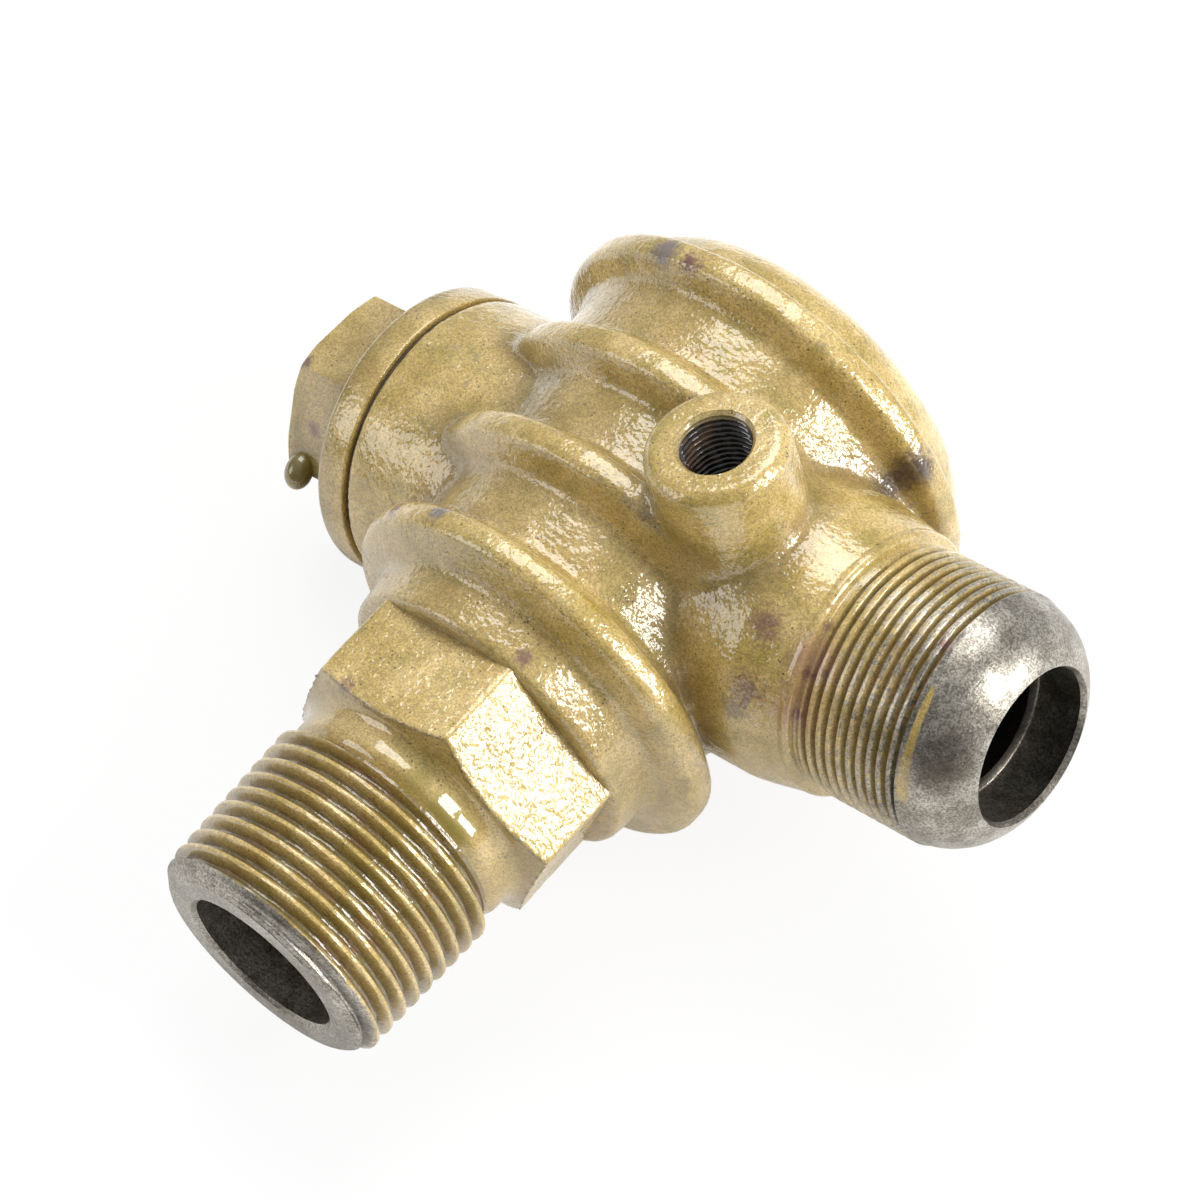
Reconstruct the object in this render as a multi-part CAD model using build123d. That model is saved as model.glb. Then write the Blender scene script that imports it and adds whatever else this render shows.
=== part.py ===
from build123d import *
import math
import os

# Non-return valve for a compressed air tank, a one-piece iron casting with three connections.
# Millimetres. Origin: centre of the tank connection's end face. The tank connection runs along +Y,
# the inlet opens towards +X, the access plug faces -X, and the small outlet boss looks up, +Z.

# Where the two main axes cross, measured from the tank end face
CROSSING_Y = 72.7

# Tank connection: one-inch taper pipe thread, drawn as the cone that its crests touch
TANK_THREAD_SMALL_D = 32.6
TANK_THREAD_TAPER = 1 / 16
TANK_THREAD_LENGTH = 25.4
TANK_END_FACE_D = 28.6
TANK_END_CHAMFER = 1.8
TANK_BORE_D = 20.9
TANK_NECK_D = 31.4
TANK_NECK_LENGTH = 2.4

# Spanner hexagon behind the tank thread
BODY_HEX_ACROSS_FLATS = 35.6
BODY_HEX_LENGTH = 15.0
BODY_HEX_CHAMFER_D = 32.4
BODY_HEX_CHAMFER_LENGTH = 3.4

# Ribbed chamber barrel round the tank axis, wider towards its closed dome
BARREL_START = 41.0
BARREL_START_D = 41.4
BARREL_END_D = 54.4
DOME_D = 56.4
DOME_LENGTH = 8.7
DOME_CROWN = 1.6
DOME_SHOULDER_RADIUS = 8.0
DOME_SHOULDER_START = 10.0
RIB_COUNT = 4
RIB_PITCH = 15.0
FIRST_RIB = 50.2
FIRST_RIB_D = 53.6
RIB_D_STEP = 2.5
RIB_TOP_WIDTH = 3.4
RIB_ROOT_WIDTH = 7.0
RIB_TOP_ROUND = 1.6
RIB_ROOT_ROUND = 2.2
LAST_RIB_BACK_ROUND = 1.0

# Cored chamber inside the barrel
CAST_WALL = 5.0
CHAMBER_START = 53.0
CHAMBER_CORNER_RADIUS = 7.0

# Inlet: neck, collar, parallel thread and ball nose for a union nut
INLET_LENGTH = 59.8
INLET_NECK_D = 37.4
INLET_NECK_START = 28.6
INLET_COLLAR_D = 34.6
INLET_COLLAR_END = 36.8
INLET_COLLAR_EDGE = 0.8
INLET_RELIEF_D = 30.6
INLET_RELIEF_LENGTH = 1.8
INLET_THREAD_D = 32.6
INLET_THREAD_LENGTH = 14.0
INLET_LAND_D = 32.2
INLET_NOSE_ROUND = 9.0
INLET_MOUTH_D = 20.3
INLET_MOUTH_DEPTH = 7.0
INLET_BORE_D = 16.5

# Valve seat at the inner end of the inlet bore, on a tube cast into the chamber
SEAT_FACE = 9.5
SEAT_LIP_D = 20.5
SEAT_LIP_HEIGHT = 0.8
SEAT_TUBE_D = 27.0

# Small outlet boss for the unloader pipe, square to the inlet axis
BOSS_X = 19.3
BOSS_REACH = 31.4
BOSS_D = 17.8
BOSS_EDGE_ROUND = 1.0
BOSS_ROOT_FILLET = 3.0
BOSS_THREAD_D = 8.8
BOSS_THREAD_DEPTH = 12.0
BOSS_MOUTH_D = 9.8
BOSS_PASSAGE_D = 4.0

# Neck that takes the access plug
PLUG_NECK_FACE = 33.8
PLUG_NECK_D = 39.4
PLUG_NECK_EDGE = 0.5
PLUG_THREAD_D = 32.0
PLUG_HOLE_END = 8.0

# Flat ring under the plug's flange
GASKET_D = 38.0
GASKET_THICKNESS = 0.6

# Access plug: flange, hexagon, threaded spigot and the guide for the piston's stem
PLUG_THREAD_CLEARANCE = 0.05
PLUG_THREAD_LENGTH = 11.0
PLUG_FLANGE_D = 39.4
PLUG_FLANGE_THICKNESS = 4.8
PLUG_FLANGE_EDGE = 0.8
PLUG_HEX_ACROSS_FLATS = 24.5
PLUG_HEX_TURN = 57.4
PLUG_HEX_LENGTH = 12.2
PLUG_HEX_CHAMFER = 1.2
GUIDE_D = 13.0
GUIDE_BORE_D = 8.0
GUIDE_BORE_DEPTH = 28.0

# Moving valve: piston with a rubber face held by a washer and a screw
LIFT = 5.0
STOP_CLEARANCE = 0.2
HEAD_D = 24.0
HEAD_THICKNESS = 5.0
HEAD_EDGE = 0.5
STEM_CLEARANCE = 0.08
STEM_LENGTH = 20.0
SEAL_DISC_D = 21.6
SEAL_DISC_THICKNESS = 3.0
SEAL_POCKET_DEPTH = 2.4
SEAL_POCKET_CLEARANCE = 0.05
WASHER_D = 11.0
WASHER_THICKNESS = 1.0
SCREW_D = 4.0
SCREW_REACH = 6.0
SCREW_HEAD_D = 7.0
SCREW_HEAD_HEIGHT = 2.6
SCREW_HEAD_ROUND = 0.8
SCREW_SLOT_WIDTH = 1.0
SCREW_SLOT_DEPTH = 1.2
SCREW_HOLE_CLEARANCE = 0.1

# Return spring round the plug's guide, its end coils ground flat
SPRING_WIRE_D = 1.2
SPRING_COIL_D = 16.0
SPRING_TURNS = 7
SPRING_SEAT_CLEARANCE = 0.05

# How far a cutting form runs past the face it cuts, and how far a blank stands clear of a corner
OVERSHOOT = 1.0
BLANK_ALLOWANCE = 0.5
HEX_CHAMFER_ANGLE = 30.0

# Sizes that follow from the ones above
tank_bore_r = TANK_BORE_D / 2
tank_small_r = TANK_THREAD_SMALL_D / 2
tank_large_r = tank_small_r + TANK_THREAD_LENGTH * TANK_THREAD_TAPER / 2
hex_start = TANK_THREAD_LENGTH + TANK_NECK_LENGTH
barrel_end = FIRST_RIB + (RIB_COUNT - 1) * RIB_PITCH
dome_end = barrel_end + DOME_LENGTH
thread_start = INLET_COLLAR_END + INLET_RELIEF_LENGTH
thread_end = thread_start + INLET_THREAD_LENGTH
nose_round_r = INLET_LAND_D / 2 - INLET_NOSE_ROUND
nose_start = INLET_LENGTH - math.sqrt(INLET_NOSE_ROUND**2 - (INLET_MOUTH_D / 2 - nose_round_r) ** 2)
plug_seat = -PLUG_NECK_FACE - GASKET_THICKNESS
plug_spigot_end = -PLUG_NECK_FACE + PLUG_THREAD_LENGTH
flange_outer = plug_seat - PLUG_FLANGE_THICKNESS
pocket_floor = SEAT_FACE - SEAL_DISC_THICKNESS
head_front = pocket_floor + SEAL_POCKET_DEPTH
head_back = head_front - HEAD_THICKNESS
screw_hole_d = SCREW_D + 2 * SCREW_HOLE_CLEARANCE
washer_face = SEAT_FACE + WASHER_THICKNESS
guide_end = head_back - LIFT - STOP_CLEARANCE


def rounded(outline, rounds):
    """Fillet the corners of a flat outline; rounds lists ((radius, station) of the corner, fillet)."""
    for (r, y), radius in rounds:
        corner = Vector(r, y, 0)
        vertex = min(outline.vertices(), key=lambda v: (Vector(v.X, v.Y, v.Z) - corner).length)
        outline = fillet(vertex, radius)
    return outline


def turned_along(points, rounds=()):
    """Revolve (radius, station) points round the tank axis."""
    outline = make_face(Polyline(*points, close=True))
    return revolve(rounded(outline, rounds), Axis.Y)


def turned_across(points):
    """Revolve (station, radius) points round the inlet axis."""
    outline = make_face(Polyline(*[(x, r) for x, r in points], close=True))
    return Pos(0, CROSSING_Y, 0) * revolve(outline, Axis.X)


def rod_across(start, end, diameter):
    """Plain round bar on the inlet axis between two stations."""
    return turned_across([(start, 0), (end, 0), (end, diameter / 2), (start, diameter / 2)])


def boss_rod(start, end, diameter):
    """Plain round bar on the boss axis between two heights above the inlet axis."""
    return Pos(BOSS_X, CROSSING_Y, start) * extrude(Circle(diameter / 2), end - start)


def barrel_radius(y, inset=0.0):
    """Outer radius of the barrel at a station, or that of its wall's inner face."""
    share = (y - BARREL_START) / (barrel_end - BARREL_START)
    return (BARREL_START_D + (BARREL_END_D - BARREL_START_D) * share) / 2 - inset


def tank_spigot():
    """Tapered connection with its relief neck."""
    neck_r = TANK_NECK_D / 2
    return turned_along(
        [
            (0, 0),
            (TANK_END_FACE_D / 2, 0),
            (tank_small_r, TANK_END_CHAMFER),
            (tank_large_r, TANK_THREAD_LENGTH),
            (neck_r, TANK_THREAD_LENGTH + TANK_NECK_LENGTH / 3),
            (neck_r, hex_start),
            (0, hex_start),
        ]
    )


def body_hexagon():
    """Spanner hexagon with its turned lead-in cone."""
    corner_r = BODY_HEX_ACROSS_FLATS / math.sqrt(3)
    end = hex_start + BODY_HEX_LENGTH
    prism = extrude(RegularPolygon(corner_r, 6), BODY_HEX_LENGTH)
    prism = Pos(0, end, 0) * Rot(90, 0, 0) * prism
    cone = turned_along(
        [
            (0, hex_start),
            (BODY_HEX_CHAMFER_D / 2, hex_start),
            (corner_r + BLANK_ALLOWANCE, hex_start + BODY_HEX_CHAMFER_LENGTH),
            (corner_r + BLANK_ALLOWANCE, end),
            (0, end),
        ]
    )
    return prism & cone


def rib_edge():
    """Points of the barrel's wavy edge, and the rounds at each rib's top and roots."""
    points = []
    rounds = []
    for number in range(RIB_COUNT):
        centre = FIRST_RIB + number * RIB_PITCH
        top_r = (FIRST_RIB_D + number * RIB_D_STEP) / 2
        near_root = centre - RIB_ROOT_WIDTH / 2
        far_root = centre + RIB_ROOT_WIDTH / 2
        root_points = [(barrel_radius(near_root), near_root), (barrel_radius(far_root), far_root)]
        top_points = [(top_r, centre - RIB_TOP_WIDTH / 2), (top_r, centre + RIB_TOP_WIDTH / 2)]
        points += [root_points[0], *top_points]
        rounds += [(root_points[0], RIB_ROOT_ROUND), (top_points[0], RIB_TOP_ROUND)]
        rounds.append((top_points[1], RIB_TOP_ROUND if number < RIB_COUNT - 1 else LAST_RIB_BACK_ROUND))
        if number < RIB_COUNT - 1:
            points.append(root_points[1])
            rounds.append((root_points[1], RIB_ROOT_ROUND))
    return points, rounds


def barrel():
    """Closed, ribbed barrel; the last rib stands at the shoulder of the dome."""
    edge, rounds = rib_edge()
    shoulder_r = DOME_D / 2 - DOME_SHOULDER_RADIUS
    shoulder_y = dome_end - DOME_SHOULDER_RADIUS

    def shoulder(degrees):
        angle = math.radians(degrees)
        offset = DOME_SHOULDER_RADIUS * math.cos(angle), DOME_SHOULDER_RADIUS * math.sin(angle)
        return shoulder_r + offset[0], shoulder_y + offset[1]

    start = shoulder(DOME_SHOULDER_START)
    middle = shoulder((DOME_SHOULDER_START + 90) / 2)
    finish = shoulder(90)
    lead = [(0, BARREL_START), (barrel_radius(BARREL_START), BARREL_START)]
    wavy = Polyline(*lead, *edge, start)
    arc = ThreePointArc(start, middle, finish)
    crown = Line(finish, (0, dome_end + DOME_CROWN))
    back = Line((0, dome_end + DOME_CROWN), (0, BARREL_START))
    outline = make_face([wavy, arc, crown, back])
    return revolve(rounded(outline, rounds), Axis.Y)


def chamber():
    """Cored space inside the barrel."""
    end = dome_end - CAST_WALL
    small_r = barrel_radius(CHAMBER_START, CAST_WALL)
    large_r = barrel_radius(end, CAST_WALL)
    points = [(0, CHAMBER_START), (small_r, CHAMBER_START), (large_r, end), (0, end)]
    return turned_along(points, [(points[1], CHAMBER_CORNER_RADIUS), (points[2], CHAMBER_CORNER_RADIUS)])


def inlet_neck():
    """Cast neck of the inlet, tapering to the turned collar."""
    return turned_across(
        [
            (0, 0),
            (0, INLET_NECK_D / 2),
            (INLET_NECK_START, INLET_NECK_D / 2),
            (INLET_COLLAR_END - INLET_COLLAR_EDGE, INLET_COLLAR_D / 2),
            (INLET_COLLAR_END, INLET_COLLAR_D / 2 - INLET_COLLAR_EDGE),
            (INLET_COLLAR_END, 0),
        ]
    )


def inlet_end():
    """Relief groove, thread crests and rounded nose of the inlet."""
    inside = INLET_COLLAR_END - INLET_COLLAR_EDGE
    relief = rod_across(inside, thread_start, INLET_RELIEF_D)
    thread = rod_across(thread_start, thread_end, INLET_THREAD_D)
    shoulder = (nose_start, INLET_LAND_D / 2)
    rim = (INLET_LENGTH, INLET_MOUTH_D / 2)
    half_turn = math.atan2(rim[0] - nose_start, rim[1] - nose_round_r) / 2
    middle = (
        nose_start + INLET_NOSE_ROUND * math.sin(half_turn),
        nose_round_r + INLET_NOSE_ROUND * math.cos(half_turn),
    )
    back = Polyline(rim, (INLET_LENGTH, 0), (thread_start, 0), (thread_start, INLET_LAND_D / 2), shoulder)
    outline = make_face([back, ThreePointArc(shoulder, middle, rim)])
    nose = Pos(0, CROSSING_Y, 0) * revolve(outline, Axis.X)
    return relief + thread + nose


def inlet_inside():
    """Mouth and bore of the inlet, through to the seat."""
    mouth = rod_across(INLET_LENGTH - INLET_MOUTH_DEPTH, INLET_LENGTH + OVERSHOOT, INLET_MOUTH_D)
    return mouth + rod_across(0, INLET_LENGTH, INLET_BORE_D)


def seat_tube():
    """Tube cast inside the chamber, with the raised lip that the rubber closes on."""
    body_end = SEAT_FACE + SEAT_LIP_HEIGHT
    tube_end = INLET_COLLAR_END - INLET_COLLAR_EDGE
    tube = rod_across(body_end, tube_end, SEAT_TUBE_D)
    lip = rod_across(SEAT_FACE, body_end + OVERSHOOT, SEAT_LIP_D)
    return tube + lip


def boss_inside():
    """Tapped hole of the boss with its lead-in, and the small passage down to the inlet bore."""
    tapped = boss_rod(BOSS_REACH - BOSS_THREAD_DEPTH, BOSS_REACH + OVERSHOOT, BOSS_THREAD_D)
    passage = boss_rod(0, BOSS_REACH, BOSS_PASSAGE_D)
    mouth_depth = (BOSS_MOUTH_D - BOSS_THREAD_D) / 2
    lead_in = Pos(BOSS_X, CROSSING_Y, BOSS_REACH - mouth_depth / 2) * Cone(
        BOSS_THREAD_D / 2, BOSS_MOUTH_D / 2, mouth_depth
    )
    return tapped + passage + lead_in


def neck_with_boss():
    """Cast part of the inlet neck with the boss standing on it, blended by a fillet."""
    neck = inlet_neck()
    boss = boss_rod(0, BOSS_REACH, BOSS_D)
    joint = neck + boss
    joint = fillet(joint.edges().filter_by(root_of_boss), BOSS_ROOT_FILLET)
    return fillet(joint.edges().group_by(Axis.Z)[-1], BOSS_EDGE_ROUND)


def root_of_boss(edge):
    """True for the edge where the boss meets the neck."""
    middle = edge @ 0.5
    from_axis = Vector(middle.X - BOSS_X, middle.Y - CROSSING_Y, 0).length
    on_boss = abs(from_axis - BOSS_D / 2) < BLANK_ALLOWANCE
    return on_boss and INLET_NECK_D / 4 < middle.Z < BOSS_REACH - BOSS_EDGE_ROUND


def valve_body():
    """The casting, machined at its four openings."""
    plug_neck = rod_across(-PLUG_NECK_FACE, 0, PLUG_NECK_D)
    plug_neck = chamfer(plug_neck.edges().sort_by(Axis.X)[0], PLUG_NECK_EDGE)
    outside = tank_spigot() + body_hexagon() + barrel() + neck_with_boss() + inlet_end() + plug_neck
    hollow = chamber() - seat_tube()
    plug_hole = rod_across(-PLUG_NECK_FACE - OVERSHOOT, -PLUG_HOLE_END, PLUG_THREAD_D)
    bore_end = CHAMBER_START + OVERSHOOT
    tank_bore = turned_along(
        [(0, -OVERSHOOT), (tank_bore_r, -OVERSHOOT), (tank_bore_r, bore_end), (0, bore_end)]
    )
    return outside - hollow - plug_hole - tank_bore - inlet_inside() - boss_inside()


def plug_gasket():
    """Flat sealing ring."""
    ring = rod_across(plug_seat, -PLUG_NECK_FACE, GASKET_D)
    return ring - rod_across(plug_seat - OVERSHOOT, 0, PLUG_THREAD_D)


def hex_plug():
    """Access plug with the guide for the piston's stem."""
    spigot_d = PLUG_THREAD_D - 2 * PLUG_THREAD_CLEARANCE
    flange = rod_across(flange_outer, plug_seat, PLUG_FLANGE_D)
    flange = chamfer(flange.edges().sort_by(Axis.X)[0], PLUG_FLANGE_EDGE)
    spigot = rod_across(plug_seat, plug_spigot_end, spigot_d)
    guide = rod_across(plug_spigot_end, guide_end, GUIDE_D)
    corner_r = PLUG_HEX_ACROSS_FLATS / math.sqrt(3)
    outer = flange_outer - PLUG_HEX_LENGTH
    head = extrude(RegularPolygon(corner_r, 6, rotation=PLUG_HEX_TURN), PLUG_HEX_LENGTH)
    head = Pos(outer, CROSSING_Y, 0) * Rot(0, 90, 0) * Rot(0, 0, 90) * head
    lead = turned_across(
        [
            (outer, 0),
            (outer, corner_r - PLUG_HEX_CHAMFER),
            (outer + PLUG_HEX_CHAMFER * math.tan(math.radians(HEX_CHAMFER_ANGLE)), corner_r),
            (flange_outer, corner_r),
            (flange_outer, 0),
        ]
    )
    bore = rod_across(guide_end - GUIDE_BORE_DEPTH, guide_end + OVERSHOOT, GUIDE_BORE_D)
    return flange + spigot + guide + (head & lead) - bore


def valve_piston():
    """Piston head with a pocket for the rubber disc, on a stem that slides in the plug's guide."""
    head = rod_across(head_back, head_front, HEAD_D)
    head = chamfer(head.edges().group_by(Axis.X)[-1] + head.edges().group_by(Axis.X)[0], HEAD_EDGE)
    stem = rod_across(head_back - STEM_LENGTH, head_back, GUIDE_BORE_D - 2 * STEM_CLEARANCE)
    stem = chamfer(stem.edges().group_by(Axis.X)[0], HEAD_EDGE)
    pocket = rod_across(pocket_floor, head_front + OVERSHOOT, SEAL_DISC_D + 2 * SEAL_POCKET_CLEARANCE)
    screw_hole = rod_across(washer_face - SCREW_REACH - OVERSHOOT, SEAT_FACE, screw_hole_d)
    return head + stem - pocket - screw_hole


def seal_disc():
    """Rubber disc that closes on the seat lip."""
    disc = rod_across(pocket_floor, SEAT_FACE, SEAL_DISC_D)
    return disc - rod_across(pocket_floor - OVERSHOOT, SEAT_FACE + OVERSHOOT, screw_hole_d)


def seal_washer():
    """Washer that holds the rubber disc in its pocket."""
    washer = rod_across(SEAT_FACE, washer_face, WASHER_D)
    return washer - rod_across(SEAT_FACE - OVERSHOOT, washer_face + OVERSHOOT, screw_hole_d)


def seal_screw():
    """Slotted screw through the washer and disc into the piston."""
    top = washer_face + SCREW_HEAD_HEIGHT
    head = rod_across(washer_face, top, SCREW_HEAD_D)
    head = fillet(head.edges().group_by(Axis.X)[-1], SCREW_HEAD_ROUND)
    shank = rod_across(washer_face - SCREW_REACH, washer_face, SCREW_D)
    slot = Box(SCREW_SLOT_DEPTH, SCREW_HEAD_D + OVERSHOOT, SCREW_SLOT_WIDTH)
    slot = Pos(top - SCREW_SLOT_DEPTH / 2, CROSSING_Y, 0) * slot
    return head + shank - slot


def return_spring():
    """Round-wire spring between the plug's spigot and the piston head."""
    first = plug_spigot_end + SPRING_SEAT_CLEARANCE + SPRING_WIRE_D / 2
    last = head_back - SPRING_SEAT_CLEARANCE - SPRING_WIRE_D / 2
    length = last - first
    path = Helix(length / SPRING_TURNS, length, SPRING_COIL_D / 2)
    section = Plane(path @ 0, z_dir=path % 0) * Circle(SPRING_WIRE_D / 2)
    coil = sweep(section, path, is_frenet=True)
    return Pos(first, CROSSING_Y, 0) * Rot(0, 90, 0) * coil


PIECES = {
    "valve_body": valve_body,
    "hex_plug": hex_plug,
    "plug_gasket": plug_gasket,
    "return_spring": return_spring,
    "valve_piston": valve_piston,
    "seal_disc": seal_disc,
    "seal_washer": seal_washer,
    "seal_screw": seal_screw,
}

os.makedirs("parts", exist_ok=True)
for name, make in PIECES.items():
    export_step(make(), f"parts/{name}.step")
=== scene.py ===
import logging
import math
from dataclasses import dataclass
from enum import Enum

import bpy
import numpy as np
from mathutils import Matrix, Vector


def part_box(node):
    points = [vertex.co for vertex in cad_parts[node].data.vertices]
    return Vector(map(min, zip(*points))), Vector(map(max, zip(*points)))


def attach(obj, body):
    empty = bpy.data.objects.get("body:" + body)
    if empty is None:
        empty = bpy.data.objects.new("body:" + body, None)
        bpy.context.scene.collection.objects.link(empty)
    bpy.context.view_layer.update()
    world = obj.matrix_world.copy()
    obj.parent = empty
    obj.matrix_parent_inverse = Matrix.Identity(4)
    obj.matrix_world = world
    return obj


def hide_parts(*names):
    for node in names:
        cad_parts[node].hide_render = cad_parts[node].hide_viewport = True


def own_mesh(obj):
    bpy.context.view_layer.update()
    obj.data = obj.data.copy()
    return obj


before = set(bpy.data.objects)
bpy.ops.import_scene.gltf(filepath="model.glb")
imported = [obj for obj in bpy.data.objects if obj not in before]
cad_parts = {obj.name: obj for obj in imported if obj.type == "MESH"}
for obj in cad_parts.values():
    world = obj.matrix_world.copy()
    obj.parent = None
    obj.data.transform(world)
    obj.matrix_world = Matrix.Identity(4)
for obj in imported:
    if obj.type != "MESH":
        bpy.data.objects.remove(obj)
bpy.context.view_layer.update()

log = logging.getLogger("non_return_valve")

MM = 0.001
CROSSING_Y = 72.7
BOSS_X = 19.3

Point = tuple[float, float]
Triple = tuple[float, float, float]
Piece = bpy.types.Object
Node = bpy.types.Node
Socket = bpy.types.NodeSocket


class Line(Enum):
    """The three axes that the valve is turned on."""

    TANK = "tank"
    INLET = "inlet"
    BOSS = "boss"

    @property
    def centre(self) -> Vector:
        """A point on the axis, in metres."""
        return {
            Line.TANK: Vector((0, 0, 0)),
            Line.INLET: Vector((0, CROSSING_Y * MM, 0)),
            Line.BOSS: Vector((BOSS_X * MM, CROSSING_Y * MM, 0)),
        }[self]

    @property
    def along(self) -> Vector:
        """Unit vector along the axis."""
        return Vector({Line.TANK: (0, 1, 0), Line.INLET: (1, 0, 0), Line.BOSS: (0, 0, 1)}[self])

    @property
    def across(self) -> Vector:
        """Unit vector square to the axis, in which a profile is drawn."""
        return Vector({Line.TANK: (1, 0, 0), Line.INLET: (0, 1, 0), Line.BOSS: (1, 0, 0)}[self])

    def place(self, station: float, radius: float) -> Vector:
        """Point in metres of a station along the axis and a radius, both in millimetres."""
        return self.centre + self.along * station * MM + self.across * radius * MM


def start_clean() -> None:
    """Leave edit mode and deselect everything."""
    if bpy.context.object and bpy.context.object.mode != "OBJECT":
        bpy.ops.object.mode_set(mode="OBJECT")
    bpy.ops.object.select_all(action="DESELECT")


def only(piece: Piece) -> None:
    """Select one object and make it active.

    Args:
        piece: The object to work on.
    """
    start_clean()
    piece.select_set(True)
    bpy.context.view_layer.objects.active = piece


def settle(piece: Piece) -> None:
    """Put a piece's place, turn and size into its mesh."""
    only(piece)
    bpy.ops.object.transform_apply(location=True, rotation=True, scale=True)


def mend(piece: Piece, distance: float = 0.004) -> None:
    """Merge doubles and point the faces outwards.

    Args:
        piece: A closed mesh.
        distance: Merge distance in millimetres, or 0 to keep every point.
    """
    only(piece)
    bpy.ops.object.mode_set(mode="EDIT")
    bpy.ops.mesh.select_all(action="SELECT")
    if distance > 0:
        bpy.ops.mesh.remove_doubles(threshold=distance * MM)
    bpy.ops.mesh.normals_make_consistent(inside=False)
    bpy.ops.object.mode_set(mode="OBJECT")


def modify(piece: Piece, kind: str, **settings: object) -> None:
    """Add a modifier, set it and apply it.

    Args:
        piece: The mesh.
        kind: Blender's name of the modifier.
        settings: Its settings by name.
    """
    only(piece)
    modifier = piece.modifiers.new("step", kind)
    for name, value in settings.items():
        setattr(modifier, name, value)
    bpy.ops.object.modifier_apply(modifier="step")


def boolean(piece: Piece, tool: Piece, operation: str) -> Piece:
    """Cut, join or intersect a piece with a tool, which is deleted.

    Args:
        piece: The piece that stays.
        tool: The tool.
        operation: DIFFERENCE, UNION or INTERSECT.

    Returns:
        The changed piece.
    """
    modify(piece, "BOOLEAN", operation=operation, solver="EXACT", object=tool)
    bpy.data.objects.remove(tool)
    return piece


def remesh(piece: Piece, size: float) -> None:
    """Turn a piece into one skin of even faces of the size in millimetres."""
    modify(piece, "REMESH", mode="VOXEL", voxel_size=size * MM, use_smooth_shade=True)


def smooth(piece: Piece, rounds: int, group: str = "") -> None:
    """Smooth a piece a number of times, all over or in one vertex group."""
    modify(piece, "SMOOTH", factor=0.5, iterations=rounds, vertex_group=group)


def unsettle(piece: Piece, size: float, height: float, group: str = "") -> None:
    """Raise and lower a surface by soft clouds.

    Args:
        piece: The mesh.
        size: Size of the clouds in millimetres.
        height: Their full height in millimetres.
        group: Vertex group that they keep to, or none.
    """
    texture = bpy.data.textures.new("clouds", "CLOUDS")
    texture.noise_scale = size * MM
    texture.noise_depth = 1
    modify(
        piece, "DISPLACE", texture=texture, texture_coords="LOCAL", vertex_group=group,
        strength=height * MM, mid_level=0.5,
    )


def weigh(piece: Piece, name: str, shares: np.ndarray, steps: int) -> None:
    """Make a vertex group.

    Args:
        piece: The mesh.
        name: Name of the group.
        shares: Weight of each vertex, from 0 to 1.
        steps: Number of steps that the weights are rounded to.
    """
    group = piece.vertex_groups.new(name=name)
    levels = np.round(shares * steps).astype(int)
    for level in range(1, steps + 1):
        chosen = np.nonzero(levels == level)[0].tolist()
        if chosen:
            group.add(chosen, level / steps, "REPLACE")


def softened(corners: list[Triple], steps: int = 5) -> list[Point]:
    """Round the corners of a profile.

    Args:
        corners: Station, radius and corner round of each point, in millimetres.
        steps: Straight runs in each rounded corner.

    Returns:
        The profile's points with the arcs put in.
    """
    points: list[Point] = []
    count = len(corners)
    for number, (station, radius, bend) in enumerate(corners):
        here = Vector((station, radius))
        before = Vector(corners[number - 1][:2]) - here
        after = Vector(corners[(number + 1) % count][:2]) - here
        opening = before.angle(after, 0.0)
        if bend <= 0 or opening < 0.01:
            points.append((station, radius))
            continue
        reach = bend / math.tan(opening / 2)
        reach = min(reach, before.length * 0.49, after.length * 0.49)
        start = here + before.normalized() * reach
        finish = here + after.normalized() * reach
        for step in range(steps + 1):
            share = step / steps
            pull = 2 * share * (1 - share) * math.sin(opening / 2)
            total = (1 - share) ** 2 + pull + share**2
            point = (start * (1 - share) ** 2 + here * pull + finish * share**2) / total
            points.append((point.x, point.y))
    return points


def stations(start: float, end: float, step: float) -> list[float]:
    """Evenly spaced stations from start to end, both included."""
    count = max(1, round(abs(end - start) / step))
    return [start + (end - start) * number / count for number in range(count + 1)]


def turned(name: str, profile: list[Point], line: Line, steps: int = 128, closed: bool = True) -> Piece:
    """Turn a profile round one of the valve's axes.

    A circle is added, its corners are moved to the profile's points and it is spun.

    Args:
        name: Name of the piece.
        profile: Station and radius of each point, in millimetres.
        line: The axis.
        steps: Faces round the axis.
        closed: False for a profile whose first and last points lie on the axis.

    Returns:
        The turned piece.
    """
    start_clean()
    bpy.ops.mesh.primitive_circle_add(vertices=len(profile), radius=MM, fill_type="NOTHING")
    piece = bpy.context.object
    piece.name = name
    for vertex, (station, radius) in zip(piece.data.vertices, profile):
        vertex.co = line.place(station, radius)
    bpy.ops.object.mode_set(mode="EDIT")
    if not closed:
        bpy.ops.mesh.select_mode(type="EDGE")
        bpy.ops.mesh.select_all(action="DESELECT")
        bpy.ops.object.mode_set(mode="OBJECT")
        last = len(profile) - 1
        for edge in piece.data.edges:
            edge.select = set(edge.vertices) == {0, last}
        bpy.ops.object.mode_set(mode="EDIT")
        bpy.ops.mesh.delete(type="EDGE")
        bpy.ops.mesh.select_mode(type="VERT")
    bpy.ops.mesh.select_all(action="SELECT")
    bpy.ops.mesh.spin(steps=steps, angle=2 * math.pi, center=line.centre, axis=line.along)
    bpy.ops.object.mode_set(mode="OBJECT")
    mend(piece)
    return piece


def rod(name: str, start: float, end: float, radius: float, line: Line, steps: int = 96) -> Piece:
    """Plain round bar between two stations."""
    return turned(name, [(start, 0), (start, radius), (end, radius), (end, 0)], line, steps, closed=False)


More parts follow.
